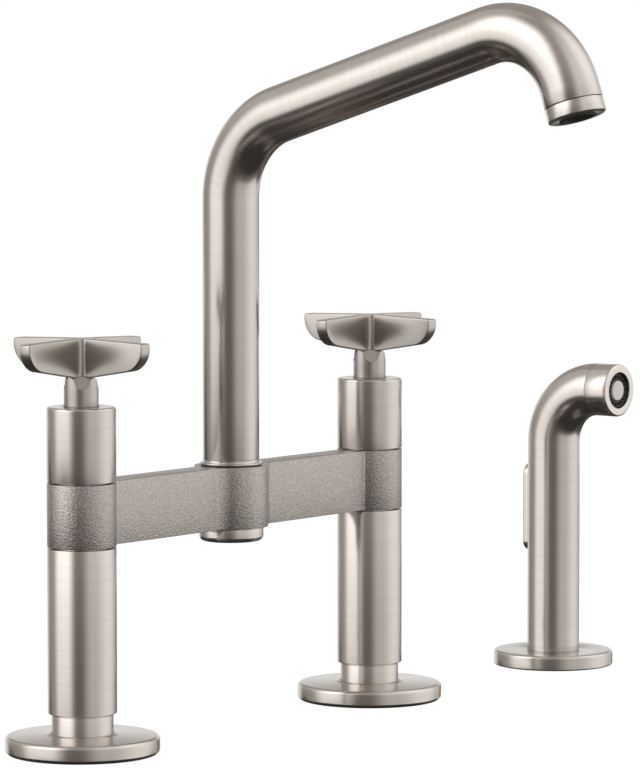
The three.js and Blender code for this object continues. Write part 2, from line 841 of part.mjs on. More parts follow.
function spout() {
  const cornerTop = cornerHeight + slopeRun * Math.tan(radians(slope));
  const tip = group(0, -(slopeRun + tipBelowCorner * Math.cos(tipTilt)),
    cornerTop - tipBelowCorner * Math.sin(tipTilt),
    piece('aerator_ring', tipRing(), nickel),
    piece('aerator_housing', aeratorHousing(), blackPlastic),
    piece('aerator_screen', aeratorScreen(), blackPlastic));
  tip.rotation.x = tipTilt - Math.PI / 2;
  return group(0, 0, 0,
    piece('spout_nipple', spoutNipple(), nickel),
    piece('spout_lower_o_ring', sealRing(nippleFoot + lowerRingRise), rubber),
    piece('spout_upper_o_ring', sealRing(nippleFoot + upperRingRise), rubber),
    piece('spout_thrust_ring', thrustRing(), blackPlastic),
    piece('spout_tube', spoutTube(), nickel),
    piece('spout_retaining_washer', retainer(), steel),
    piece('spout_retaining_screw', retainingScrew(), steel),
    tip);
}

// ---------------------------------------------------------------- side spray

const spigotRadius = guideRadius - guideWall - play - bushWall - play;
const recessTop = sprayFlangeThickness - sprayFlangeLip;

function sprayFlange() {
  return turned([
    [guideRadius + play, 0],
    [sprayFlangeRadius, 0, flangeFootRound],
    [sprayFlangeRadius, sprayFlangeThickness, sprayFlangeRound],
    [spigotRadius + play, sprayFlangeThickness],
    [spigotRadius + play, recessTop],
    [guideRadius + play, recessTop],
  ]);
}

function sprayGuide() {
  return tube(guideRadius, guideRadius - guideWall, -guideLength, recessTop - play);
}

function guideBush() {
  const top = recessTop - play;
  return tube(spigotRadius + play + bushWall, spigotRadius + play, top - bushLength, top);
}

const pivotDepth = sprayRadius - pivotInset;
const pivotHeight = paddleHead - pivotBelowHead;
const pinHeight = pivotHeight - pinBelowPivot;
const paddleFace = sprayRadius + paddleProud;
const paddleBack = paddleFace - paddleThickness;

// Upright slot shape in XZ with round ends, raised along Y.
function slotBlock(width, foot, head, from, to) {
  const half = width / 2;
  const outline = [
    ...arc(0, head - half, half, 0, Math.PI, Math.PI / 8),
    ...arc(0, foot + half, half, Math.PI, 2 * Math.PI, Math.PI / 8),
  ];
  return raised(outline, 0, to - from).rotateX(Math.PI / 2).translate(0, to, 0);
}

function sprayBody() {
  const line = new BentLine(new THREE.Vector3(0, 0, sprayFlangeThickness), Math.PI / 2)
    .straight(sprayAxisHeight - sprayBend - sprayFlangeThickness)
    .bend(sprayBend, Math.PI / 2, sprayBendSteps);
  const bore = sprayRadius - sprayWall;
  const foot = sprayFlangeThickness - spigotLength;
  const spigot = turned([
    [spigotRadius - spigotWall, foot],
    [spigotRadius, foot, 0.6],
    [spigotRadius, sprayFlangeThickness],
    [bore + 0.5, sprayFlangeThickness],
    [bore + 0.5, sprayFlangeThickness + 2 * spigotWall],
    [spigotRadius - spigotWall, sprayFlangeThickness + 2 * spigotWall],
  ]);
  return cut(join(swept(line, sprayRadius, bore), spigot),
    slotBlock(paddleWidth + 2 * play, paddleFoot - paddlePlay, paddleHead + play, 0, 2 * sprayRadius),
    bar('x', pivotRadius + play, 2 * (pivotHalfLength + play), 0, pivotDepth, pivotHeight, 12));
}

// The paddle: a slot-shaped plate with a lug behind its head for the pivot.
function triggerPaddle() {
  const plate = slotBlock(paddleWidth, paddleFoot, paddleHead, paddleBack, paddleFace);
  const lug = bar('x', lugRadius, paddleWidth - 2, 0, pivotDepth, pivotHeight, coarse);
  const hole = bar('x', pivotRadius + play, 2 * paddleWidth, 0, pivotDepth, pivotHeight, 12);
  return cut(join(plate, lug), hole);
}

const housingTop = pinHeight + housingHeight / 2;
const collarFront = pinCollarLength / 2;
const springEnd = -collarFront - springLength;

// Valve housing: a plug in the spray body with a spring chamber along Y and a water way up.
function valveHousing() {
  const radius = sprayRadius - sprayWall - play;
  const chamber = pinCollarRadius + play;
  const chamberLength = collarFront + play - springEnd;
  return cut(tube(radius, 0, housingTop - housingHeight, housingTop, 0, coarse),
    block(2 * sprayRadius, sprayRadius, 2 * housingHeight, 0, housingFlat + sprayRadius / 2, pinHeight),
    bar('y', chamber, chamberLength, 0, (collarFront + play + springEnd) / 2, pinHeight, 16),
    bar('y', pinRadius + play, 2 * sprayRadius, 0, sprayRadius, pinHeight, 16),
    bar('z', spraySmallBore, 2 * housingHeight, 0, (springEnd - collarFront) / 2, pinHeight, 12));
}

function valvePin() {
  const tip = paddleBack - play;
  return join(
    bar('y', pinRadius, tip + collarFront, 0, (tip - collarFront) / 2, pinHeight, 16),
    bar('y', pinCollarRadius, pinCollarLength, 0, 0, pinHeight, 16));
}

// Compression spring behind the pin's collar, from the chamber's end to the collar.
function valveSpring() {
  const coil = pinCollarRadius - springWire / 2 - springGap;
  const run = springLength - springWire - 2 * springGap;
  class Helix extends THREE.Curve {
    getPoint(t) {
      const angle = 2 * Math.PI * springTurns * t;
      return new THREE.Vector3(coil * Math.cos(angle), run * t, coil * Math.sin(angle));
    }
  }
  const wire = new THREE.Shape(circle(springWire / 2, 5));
  const steps = 8 * springTurns;
  return new THREE.ExtrudeGeometry(wire, { steps, extrudePath: new Helix(), curveSegments: 1 })
    .translate(0, springEnd + springWire / 2 + springGap, pinHeight);
}

function hoseNipple() {
  const shoulder = sprayFlangeThickness - spigotLength - play;
  const plug = spigotRadius - spigotWall - play;
  const body = turned([
    [hoseBore, shoulder - nippleHexHeight - barbLength],
    [barbRadius, shoulder - nippleHexHeight - barbLength, 0.5],
    [barbRadius, shoulder - 1],
    [plug, shoulder - 1],
    [plug, shoulder + spigotWall * 4],
    [hoseBore, shoulder + spigotWall * 4],
  ], coarse);
  return join(body, raised(flatted(nippleHexFlats), shoulder - nippleHexHeight, nippleHexHeight,
    [circle(hoseBore + 1, coarse)]));
}

// The pieces of the nose are turned about the outlet's axis, from the face inwards.
function noseRing() {
  const spigot = sprayRadius - sprayWall - play;
  return turned([
    [noseBore, 0, 0.4],
    [sprayRadius, 0, noseEdge],
    [sprayRadius, noseLength],
    [spigot, noseLength],
    [spigot, noseLength + noseSpigot],
    [noseBore, noseLength + noseSpigot],
  ]);
}

function nozzleRing() {
  const outer = noseBore - play;
  const inner = centreDiscRadius + play;
  const pitch = (outer + inner) / 2;
  const ring = tube(outer, inner, nozzleRecess, nozzleRecess + nozzleThickness, 0, fine);
  const bumps = Array.from({ length: nozzleCount }, (_, i) => {
    const angle = 2 * Math.PI * i / nozzleCount;
    return bar('z', nozzleBumpRadius, 2 * nozzleBumpHeight, pitch * Math.cos(angle),
      pitch * Math.sin(angle), nozzleRecess, 6);
  });
  return join(ring, ...bumps);
}

function centreDisc() {
  return tube(centreDiscRadius, 0, nozzleRecess - nozzleBumpHeight,
    nozzleRecess - nozzleBumpHeight + centreDiscLength, 0.4, coarse);
}

function sideSpray() {
  const nose = group(0, -(sprayBend + play + noseLength), sprayAxisHeight,
    piece('spray_nose_ring', noseRing(), nickel),
    piece('spray_nozzle_ring', nozzleRing(), blackPlastic),
    piece('spray_centre_disc', centreDisc(), palePlastic));
  nose.rotation.x = -Math.PI / 2;
  return group(valveSpacing / 2 + sprayDistance, 0, 0,
    piece('spray_flange', sprayFlange(), nickel),
    piece('spray_guide_shank', sprayGuide(), brass),
    piece('spray_deck_washer', clampWasher(guideRadius, washerRadius), steel),
    piece('spray_lock_nut', clampNut(guideRadius, sprayNutFlats, nutHeight), brass),
    piece('spray_guide_bush', guideBush(), palePlastic),
    piece('spray_body', sprayBody(), nickel),
    piece('spray_hose_nipple', hoseNipple(), brass),
    piece('spray_valve_housing', valveHousing(), blackPlastic),
    piece('spray_valve_pin', valvePin(), steel),
    piece('spray_valve_spring', valveSpring(), steel),
    piece('trigger_paddle', triggerPaddle(), nickel),
    piece('trigger_pivot_pin',
      bar('x', pivotRadius, 2 * pivotHalfLength, 0, pivotDepth, pivotHeight, 12), steel),
    nose);
}

// ---------------------------------------------------------------- faucet

const faucet = group(0, 0, 0,
  valveStation('hot', 1),
  valveStation('cold', -1),
  piece('bridge_body', bridgeBody(), castNickel),
  piece('hub_cap', hubCap(), nickel),
  spout(),
  sideSpray());

export default faucet;
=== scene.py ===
"""Looks of a bridge kitchen faucet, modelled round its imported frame, in metres."""

import logging
import math
from dataclasses import dataclass
from enum import Enum
from functools import cache
from typing import Callable, Sequence

import bmesh
import bpy
from mathutils import Matrix, Vector


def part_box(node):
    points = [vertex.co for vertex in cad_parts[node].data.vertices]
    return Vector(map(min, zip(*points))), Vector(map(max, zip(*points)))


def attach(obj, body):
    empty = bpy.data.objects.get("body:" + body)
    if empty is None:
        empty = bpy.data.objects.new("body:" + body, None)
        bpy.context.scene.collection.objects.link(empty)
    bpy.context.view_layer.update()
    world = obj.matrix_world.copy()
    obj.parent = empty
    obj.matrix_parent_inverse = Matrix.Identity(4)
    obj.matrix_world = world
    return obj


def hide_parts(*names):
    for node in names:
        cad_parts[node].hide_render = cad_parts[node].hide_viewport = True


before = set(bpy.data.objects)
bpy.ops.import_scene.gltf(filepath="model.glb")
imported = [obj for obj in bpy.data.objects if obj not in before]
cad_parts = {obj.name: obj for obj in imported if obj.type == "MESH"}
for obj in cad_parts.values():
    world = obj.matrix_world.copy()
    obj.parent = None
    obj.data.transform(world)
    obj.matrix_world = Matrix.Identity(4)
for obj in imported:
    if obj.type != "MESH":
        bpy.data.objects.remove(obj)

LOG = logging.getLogger("faucet")
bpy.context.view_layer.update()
DECK = "deck_assembly"   # the CAD body that stays still

Edge = tuple[float, int]        # a rounded edge: its radius and its facets
Span = tuple[float, ...]        # a ramp: its start and end, then its low and high value

MM = 0.001
WELD = 1e-6                     # points nearer than this become one
PAST = 1 * MM                   # how far a cutter goes past what it cuts
GRAIN = "grain"                 # point attribute that counts metres across the brush lines
ROUND = 96                      # sides of a turned piece that shows
INNER = 48                      # sides of a turned piece or cutter out of sight
UP = Vector((0, 0, 1))
PLAIN: Edge = (0.0, 0)
CRISP: Edge = (0.15 * MM, 2)
FINE: Edge = (0.2 * MM, 2)
EASED: Edge = (0.3 * MM, 2)


# ---------------------------------------------------------------- shader graphs


class Number:
    """A number socket of a shader, on which Python's operators add Math nodes."""

    def __init__(self, graph: "Graph", socket: bpy.types.NodeSocket) -> None:
        """Wraps an output socket that carries a number."""
        self.graph = graph
        self.socket = socket

    def math(self, operation: str, *others: "Number | float", swap: bool = False) -> "Number":
        """Adds one Math node.

        Args:
            operation: The Math node's operation.
            others: The further inputs.
            swap: True to put this number last.

        Returns:
            The node's result.
        """
        values = [*others, self] if swap else [self, *others]
        made = self.graph.node("ShaderNodeMath", {"operation": operation}, dict(enumerate(values)))
        return Number(self.graph, made.outputs[0])

    def __add__(self, other: "Number | float") -> "Number":
        """The sum."""
        return self.math("ADD", other)

    __radd__ = __add__

    def __sub__(self, other: "Number | float") -> "Number":
        """The difference."""
        return self.math("SUBTRACT", other)

    def __rsub__(self, other: float) -> "Number":
        """The difference, with the number second."""
        return self.math("SUBTRACT", other, swap=True)

    def __mul__(self, other: "Number | float") -> "Number":
        """The product."""
        return self.math("MULTIPLY", other)

    def ramp(self, start: float, end: float, low: float = 0.0, high: float = 1.0) -> "Number":
        """Smoothly goes from low at start to high at end.

        Args:
            start: Where the ramp leaves low.
            end: Where it reaches high.
            low: The value before start.
            high: The value after end.

        Returns:
            The ramped number.
        """
        made = self.graph.node(
            "ShaderNodeMapRange",
            {"interpolation_type": "SMOOTHSTEP"},
            {"Value": self, "From Min": start, "From Max": end, "To Min": low, "To Max": high},
        )
        return Number(self.graph, made.outputs["Result"])


class Graph:
    """The shader of a material or a world, with one method for every kind of node."""

    def __init__(self, owner: bpy.types.Material | bpy.types.World) -> None:
        """Empties a node tree.

        Args:
            owner: The material or the world that holds it.
        """
        owner.use_nodes = True
        self.tree = owner.node_tree
        self.tree.nodes.clear()

    def node(self, kind: str, settings: dict | None = None,
             inputs: dict | None = None) -> bpy.types.Node:
        """Adds a node.

        Args:
            kind: The node's type name.
            settings: Its properties, set first.
            inputs: A value or a link for each socket, by name or number.

        Returns:
            The node.
        """
        made = self.tree.nodes.new(kind)
        for key, value in (settings or {}).items():
            setattr(made, key, value)
        for key, value in (inputs or {}).items():
            socket = made.inputs[key]
            if isinstance(value, Number):
                value = value.socket
            if isinstance(value, bpy.types.NodeSocket):
                self.tree.links.new(value, socket)
            else:
                socket.default_value = value
        return made

    def vector(self, x: Number, y: Number, z: Number) -> bpy.types.NodeSocket:
        """Joins three numbers into a vector."""
        return self.node("ShaderNodeCombineXYZ", None, {0: x, 1: y, 2: z}).outputs[0]

    def axes(self, socket: bpy.types.NodeSocket) -> tuple[Number, Number, Number]:
        """Splits a vector into its three numbers."""
        split = self.node("ShaderNodeSeparateXYZ", None, {0: socket})
        return tuple(Number(self, out) for out in split.outputs)

    def noise(self, place: bpy.types.NodeSocket, scale: float, detail: float) -> Number:
        """Noise at a place, about a half.

        Args:
            place: The coordinates.
            scale: Noise cells per unit of them.
            detail: Octaves beyond the first.

        Returns:
            The noise.
        """
        made = self.node("ShaderNodeTexNoise", None,
                         {"Vector": place, "Scale": scale, "Detail": detail})
        return Number(self, made.outputs["Fac"])

    def blend(self, share: Number, low: Sequence[float],
              high: Sequence[float]) -> bpy.types.NodeSocket:
        """Mixes two colours.

        Args:
            share: How much of the second.
            low: The first colour.
            high: The second colour.

        Returns:
            The mixed colour.
        """
        made = self.node("ShaderNodeMix", {"data_type": "RGBA"},
                         {0: share, 6: (*low, 1.0), 7: (*high, 1.0)})
        return made.outputs[2]

    def mix(self, share: Number, first: bpy.types.Node, second: bpy.types.Node) -> bpy.types.Node:
        """Mixes two shaders, with a share of the second."""
        return self.node("ShaderNodeMixShader", None,
                         {0: share, 1: first.outputs[0], 2: second.outputs[0]})

    def glow(self, colour: Sequence[float], strength: float) -> bpy.types.Node:
        """Adds an emission shader."""
        return self.node("ShaderNodeEmission", None, {"Color": (*colour, 1), "Strength": strength})

    def sight(self) -> tuple[Number, Number]:
        """Tells what looks here.

        Returns:
            1 for the camera, and 1 for a mirrored or a refracted ray.
        """
        path = self.node("ShaderNodeLightPath")
        camera, glossy, clear = (Number(self, path.outputs[name]) for name in (
            "Is Camera Ray", "Is Glossy Ray", "Is Transmission Ray"))
        return camera, glossy + clear


# ---------------------------------------------------------------- finishes


Marks = tuple[Number, Number, Number]


@dataclass(frozen=True)
class Surface:
    """A finish with fine marks.

    Attributes:
        name: The material's name.
        slot: The record's material slot; not used.
        colour: Its mean colour.
        roughness: Its mean roughness.
        tones: The darkest and the lightest mark, as shares of the colour.
        cell: Size of the finest marks, in metres.
        depth: The bump's depth, in metres.
        metallic: 1 for metal.
    """

    name: str
    slot: str
    colour: tuple[float, float, float]
    roughness: float
    tones: tuple[float, float]
    cell: float
    depth: float
    metallic: float

    def marks(self, graph: Graph, place: bpy.types.NodeSocket) -> Marks:
        """Draws the marks.

        Args:
            graph: The material's shader.
            place: Object coordinates.

        Returns:
            How light they are, from 0 to 1, how high they stand and how rough they are.
        """
        raise NotImplementedError

    def make(self) -> bpy.types.Material:
        """Builds the material.

        Returns:
            The material.
        """
        material = bpy.data.materials.new(self.name)
        graph = Graph(material)
        place = graph.node("ShaderNodeTexCoord").outputs["Object"]
        light, height, roughness = self.marks(graph, place)
        bump = graph.node("ShaderNodeBump", None,
                          {"Strength": 1.0, "Distance": self.depth, "Height": height})
        low, high = (tuple(part * tone for part in self.colour) for tone in self.tones)
        surface = graph.node("ShaderNodeBsdfPrincipled", None, {
            "Base Color": graph.blend(light, low, high), "Metallic": self.metallic,
            "Roughness": roughness, "Normal": bump.outputs["Normal"]})
        graph.node("ShaderNodeOutputMaterial", None, {"Surface": surface.outputs[0]})
        return material


@dataclass(frozen=True)
class BrushedMetal(Surface):
    """Metal with brush lines.

    Attributes:
        level: True where the lines follow the height, and not the grain attribute.
        line_scale: Noise cells per metre along a line.
        band_scale: The same along the broader bands.
        band_share: A line's width as a share of a band's.
        cloud_scale: Noise cells per metre of the roughness.
    """

    roughness: float = 0.22
    tones: tuple[float, float] = (0.965, 1.035)
    cell: float = 0.35 * MM
    depth: float = 0.004 * MM
    metallic: float = 1.0
    level: bool = False
    line_scale: float = 45.0
    band_scale: float = 12.0
    band_share: float = 0.16
    cloud_scale: float = 38.0

    def marks(self, graph: Graph, place: bpy.types.NodeSocket) -> Marks:
        """Draws fine lines and broader bands.

        Args:
            graph: The material's shader.
            place: Object coordinates.

        Returns:
            Their lightness, height and roughness.
        """
        x, y, z = graph.axes(place)
        across = z
        if not self.level:
            source = graph.node("ShaderNodeAttribute", {"attribute_name": GRAIN})
            across = Number(graph, source.outputs["Fac"])
        lines = graph.noise(graph.vector(across * (1 / self.cell), x * self.line_scale,
                                         (y + z) * self.line_scale), 1.0, 3.0)
        bands = graph.noise(graph.vector(across * (self.band_share / self.cell),
                                         x * self.band_scale, y * self.band_scale), 1.0, 2.0)
        cloud = graph.noise(place, self.cloud_scale, 2.0)
        light = (lines * 0.6 + bands * 0.4).ramp(0.3, 0.7)
        return light, lines * 0.7 + bands * 0.3, self.roughness - 0.05 + cloud * 0.05 + lines * 0.05


@dataclass(frozen=True)
class HammeredMetal(Surface):
    """Plated casting with a sand texture, its colour darkest down in the pits: painted shade.

    Attributes:
        pit_share: A grain's size as a share of a pit's.
        pit_softness: How softly pits run into each other.
    """

    roughness: float = 0.31
    # From the painted shade in the pits to the tops of the grains.
    tones: tuple[float, float] = (0.78, 1.1)
    cell: float = 0.72 * MM
    depth: float = 0.27 * MM
    metallic: float = 1.0
    pit_share: float = 0.9
    pit_softness: float = 0.6

    def marks(self, graph: Graph, place: bpy.types.NodeSocket) -> Marks:
        """Draws grains and pits, with painted shade darkening the pits.

        Args:
            graph: The material's shader.
            place: Object coordinates.

        Returns:
            Their lightness, height and roughness.
        """
        grains = graph.noise(place, 1 / self.cell, 2.5)
        pits = graph.node("ShaderNodeTexVoronoi", {"feature": "SMOOTH_F1"},
                          {"Vector": place, "Scale": self.pit_share / self.cell,
                           "Smoothness": self.pit_softness})
        height = grains * 0.75 + Number(graph, pits.outputs["Distance"]) * 0.35
        # Lightness follows height, so the pits are painted darker: painted shade.
        return height.ramp(0.38, 0.75), height, self.roughness + 0.12 - grains * 0.16


@dataclass(frozen=True)
class Moulded(Surface):
    """Rubber, plastic or ceramic with a faint grain.

    Attributes:
        cloud_scale: Noise cells per metre of the colour.
    """

    roughness: float = 0.5
    tones: tuple[float, float] = (0.9, 1.1)
    cell: float = 0.4 * MM
    depth: float = 0.01 * MM
    metallic: float = 0.0
    cloud_scale: float = 60.0

    def marks(self, graph: Graph, place: bpy.types.NodeSocket) -> Marks:
        """Draws grains under a faint cloud.

        Args:
            graph: The material's shader.
            place: Object coordinates.

        Returns:
            Their lightness, height and roughness.
        """
        grains = graph.noise(place, 1 / self.cell, 2.0)
        cloud = graph.noise(place, self.cloud_scale, 1.0)
        return cloud.ramp(0.3, 0.7), grains, self.roughness - 0.06 + grains * 0.12


class Finish(Enum):
    """Every finish on the faucet."""

    NICKEL = BrushedMetal("satin_nickel", "satin_nickel", (0.595, 0.553, 0.513))
    # Satin nickel painted lighter than it is, for the nose ring: painted highlight.
    LIT_NICKEL = BrushedMetal("lit_nickel", "satin_nickel", (0.67, 0.625, 0.585))
    # Rougher satin nickel for the handles, its colour painted darker than the sleeves': painted
    # shade.
    SHADED_ROUGH = BrushedMetal("shaded_rough_nickel", "satin_nickel", (0.50, 0.465, 0.43), roughness=0.32)
    # The casting's nickel is painted darker than the smooth nickel, as shade of its rough texture.
    SHADED_CASTING = HammeredMetal("cast_nickel", "cast_nickel", (0.452, 0.414, 0.381))
    BRASS = BrushedMetal("turned_brass", "brass", (0.74, 0.56, 0.28), roughness=0.34, level=True)
    STEEL = BrushedMetal("bright_steel", "steel", (0.62, 0.62, 0.61), roughness=0.28, level=True)
    CERAMIC = Moulded("white_ceramic", "ceramic", (0.86, 0.84, 0.80), roughness=0.2,
                      tones=(0.98, 1.02))
    RUBBER = Moulded("black_rubber", "rubber", (0.022, 0.021, 0.020), roughness=0.7)
    BLACK = Moulded("black_plastic", "black_plastic", (0.012, 0.011, 0.011))
    PALE = Moulded("pale_plastic", "pale_plastic", (0.68, 0.66, 0.61), roughness=0.42,
                   tones=(0.97, 1.03))

    @cache
    def material(self) -> bpy.types.Material:
        """The finish's material, built when it is first asked for."""
        return self.value.make()


# ---------------------------------------------------------------- mesh building


GrainRule = Callable[[Vector], float]
PointTest = Callable[[Vector], bool]


@dataclass(frozen=True)
class Corner:
    """A corner of a turned profile.

    Attributes:
        radius: Distance from the axis.
        height: Height along it.
        round: Radius of the edge that the corner turns into.
        segments: Facets of that edge.
    """

    radius: float
    height: float
    round: float = 0.0
    segments: int = 0


def near(value: float, goal: float) -> bool:
    """Tells whether two lengths are the same but for rounding."""
    return abs(value - goal) < WELD


def turned_grain(point: Vector) -> float:
    """Distance across the brush lines of a piece that was turned about Z at the origin."""
    return point.z - math.hypot(point.x, point.y)


class Solid:
    """A closed mesh under construction, shaped by bmesh operators."""

    def __init__(self, bm: bmesh.types.BMesh) -> None:
        """Takes over a mesh."""
        self.bm = bm

    @classmethod
    def turned(cls, corners: Sequence[Corner], sides: int = ROUND) -> "Solid":
        """Spins a profile about Z and rounds its edges.

        Args:
            corners: The profile's corners. It closes on itself, or on the axis where its first
                and last corners lie there.
            sides: Facets round the axis.

        Returns:
            The solid.
        """
        bm = bmesh.new()
        solid = cls(bm)
        verts = [bm.verts.new((corner.radius, 0, corner.height)) for corner in corners]
        edges = [bm.edges.new(pair) for pair in zip(verts, verts[1:])]
        if corners[0].radius > 0:
            edges.append(bm.edges.new((verts[-1], verts[0])))
        bmesh.ops.spin(bm, geom=[*verts, *edges], cent=(0, 0, 0), axis=UP, angle=math.tau,
                       steps=sides, use_merge=True)
        bmesh.ops.remove_doubles(bm, verts=bm.verts, dist=WELD)
        bmesh.ops.dissolve_degenerate(bm, edges=bm.edges, dist=WELD / 10)
        bmesh.ops.recalc_face_normals(bm, faces=bm.faces)
        for corner in corners:
            if corner.round > 0:
                solid.rounded(lambda point: near(math.hypot(point.x, point.y), corner.radius)
                              and near(point.z, corner.height), corner.round, corner.segments)
        return solid

    @classmethod
    def peg(cls, radius: float, low: float, high: float, sides: int = ROUND) -> "Solid":
        """Makes a plain cylinder about Z, between two heights."""
        return cls.turned([Corner(0, low), Corner(radius, low), Corner(radius, high),
                           Corner(0, high)], sides)

    @classmethod
    def tube(cls, bore: float, radius: float, low: float, high: float, foot: Edge = PLAIN,
             head: Edge = PLAIN, sides: int = ROUND) -> "Solid":
        """Makes a tube about Z.

        Args:
            bore: Its inner radius.
            radius: Its outer radius.
            low: Where it starts.
            high: Where it ends.
            foot: Its lower outer edge.
            head: Its upper outer edge.
            sides: Facets round the axis.

        Returns:
            The tube.
        """
        return cls.turned([Corner(bore, low), Corner(radius, low, *foot),
                           Corner(radius, high, *head), Corner(bore, high)], sides)

    @classmethod
    def raised(cls, outline: "Outline", height: float) -> "Solid":
        """Fills an outline in XY and extrudes it up.

        Args:
            outline: The outline, which is used up.
            height: How far up.

        Returns:
            The solid.
        """
        bm = outline.bm
        bmesh.ops.remove_doubles(bm, verts=bm.verts, dist=WELD)
        bmesh.ops.contextual_create(bm, geom=bm.edges[:])
        made = bmesh.ops.extrude_face_region(bm, geom=bm.faces[:])
        moved = [item for item in made["geom"] if isinstance(item, bmesh.types.BMVert)]
        bmesh.ops.translate(bm, verts=moved, vec=(0, 0, height))
        bmesh.ops.recalc_face_normals(bm, faces=bm.faces)
        return cls(bm)

    def _bevel(self, edges: list[bmesh.types.BMEdge], width: float, segments: int) -> "Solid":
        """Rounds edges.

        Args:
            edges: The edges.
            width: The round's width.
            segments: Its facets.

        Returns:
            This solid.
        """
        bmesh.ops.bevel(self.bm, geom=edges, offset=width, offset_type="OFFSET",
                        segments=segments, profile=0.5, affect="EDGES", material=-1,
                        clamp_overlap=True)
        return self

    def rounded(self, where: PointTest, width: float, segments: int) -> "Solid":
        """Rounds the edges whose two ends both pass a test.

        Args:
            where: The test.
            width: The round's width.
            segments: Its facets.

        Returns:
            This solid.
        """
        edges = [edge for edge in self.bm.edges if all(where(vert.co) for vert in edge.verts)]
        return self._bevel(edges, width, segments)

    def eased(self, width: float, angle: float, segments: int) -> "Solid":
        """Rounds every edge that is sharper than an angle.

        Args:
            width: The round's width.
            angle: The least angle between two faces, in degrees.
            segments: The round's facets.

        Returns:
            This solid.
        """
        limit = math.radians(angle)
        sharp = [edge for edge in self.bm.edges
                 if edge.is_manifold and edge.calc_face_angle(0) > limit]
        return self._bevel(sharp, width, segments)

    def joined(self, where: PointTest) -> None:
        """Splits a face with an edge between the two corners that pass a test."""
        pair = [vert for vert in self.bm.verts if where(vert.co)]
        bmesh.ops.connect_vert_pair(self.bm, verts=pair)

    def shifted(self, where: PointTest, rise: float) -> None:
        """Raises the corners that pass a test."""
        verts = [vert for vert in self.bm.verts if where(vert.co)]
        bmesh.ops.translate(self.bm, verts=verts, vec=(0, 0, rise))

    def placed(self, matrix: Matrix) -> "Solid":
        """Moves and turns the whole mesh."""
        bmesh.ops.transform(self.bm, matrix=matrix, verts=self.bm.verts)
        return self

    def moved(self, x: float = 0.0, y: float = 0.0, z: float = 0.0) -> "Solid":
        """Moves the whole mesh."""
        return self.placed(Matrix.Translation((x, y, z)))

    def stamped(self, rule: GrainRule) -> "Solid":
        """Writes the grain attribute, point by point.

        Args:
            rule: What the brush lines follow.

        Returns:
            This solid.
        """
        layer = self.bm.verts.layers.float.get(GRAIN) or self.bm.verts.layers.float.new(GRAIN)
        for vert in self.bm.verts:
            vert[layer] = rule(vert.co)
        return self

    def combined(self, operation: str, *others: "Solid") -> "Solid":
        """Joins, cuts or trims this solid with others, by an exact boolean.

        Args:
            operation: UNION, DIFFERENCE or INTERSECT.
            others: The other solids, which are used up.

        Returns:
            This solid.
        """
        base = self.as_object("base")
        tools = [other.as_object("tool") for other in others]
        for tool in tools:
            step = base.modifiers.new("step", "BOOLEAN")
            step.operation = operation
            step.solver = "EXACT"
            step.object = tool
        graph = bpy.context.evaluated_depsgraph_get()
        graph.update()
        self.bm = bmesh.new()
        self.bm.from_mesh(base.evaluated_get(graph).to_mesh())
        for item in (base, *tools):
            mesh = item.data
            bpy.data.objects.remove(item)
            bpy.data.meshes.remove(mesh)
        bmesh.ops.remove_doubles(self.bm, verts=self.bm.verts, dist=2 * WELD)
        bmesh.ops.dissolve_degenerate(self.bm, edges=self.bm.edges, dist=WELD)
        return self

    def as_object(self, name: str, smooth_angle: float = 35.0) -> bpy.types.Object:
        """Turns the mesh into a Blender object at the origin.

        Args:
            name: The object's name.
            smooth_angle: Edges sharper than this stay crisp, in degrees.

        Returns:
            The object.
        """
        mesh = bpy.data.meshes.new(name)
        self.bm.to_mesh(mesh)
        self.bm.free()
        mesh.shade_smooth()
        mesh.set_sharp_from_angle(angle=math.radians(smooth_angle))
        item = bpy.data.objects.new(name, mesh)
        bpy.context.scene.collection.objects.link(item)
        return item

    def finish(self, name: str, finish: Finish, body: str, *nodes: str) -> None:
        """Makes the piece that is shown.

        Args:
            name: The piece's name.
            finish: Its finish.
            body: The CAD body that it rides on.
            nodes: The CAD nodes that it stands for.
        """
        item = self.as_object(name)
        item.data.materials.append(finish.material())
        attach(item, body)
        if nodes:
            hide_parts(*nodes)
        LOG.info("%s rides on %s and stands for %s", name, body, ", ".join(nodes) or "nothing")

    def show(self, node: str, finish: Finish, body: str = DECK) -> None:
        """Makes the piece that stands for a CAD node, and names it after that."""
        self.finish(node + "_shown", finish, body, node)


class Outline:
    """A flat outline drawn by one vertex that moves in lines and arcs."""

    def __init__(self, x: float, y: float) -> None:
        """Starts at a point."""
        self.bm = bmesh.new()
        self.tip = self.bm.verts.new((x, y, 0))

    def line(self, x: float, y: float) -> "Outline":
        """Draws a straight to a point.

        Args:
            x: The point's place.
            y: The point's place.

        Returns:
            This outline.
        """
        made = bmesh.ops.extrude_vert_indiv(self.bm, verts=[self.tip])
        self.tip = made["verts"][0]
        self.tip.co = (x, y, 0)
        return self

    def arc(self, x: float, y: float, angle: float, steps: int) -> "Outline":
        """Draws an arc about a centre.

        Args:
            x: The centre's place.
            y: The centre's place.
            angle: How far round, in radians, positive counter-clockwise.
            steps: The arc's facets.

        Returns:
            This outline.
        """
        made = bmesh.ops.spin(self.bm, geom=[self.tip], cent=(x, y, 0), axis=UP, angle=angle,
                              steps=steps, use_merge=False)
        self.tip = next(v for v in made["geom_last"] if isinstance(v, bmesh.types.BMVert))
        return self


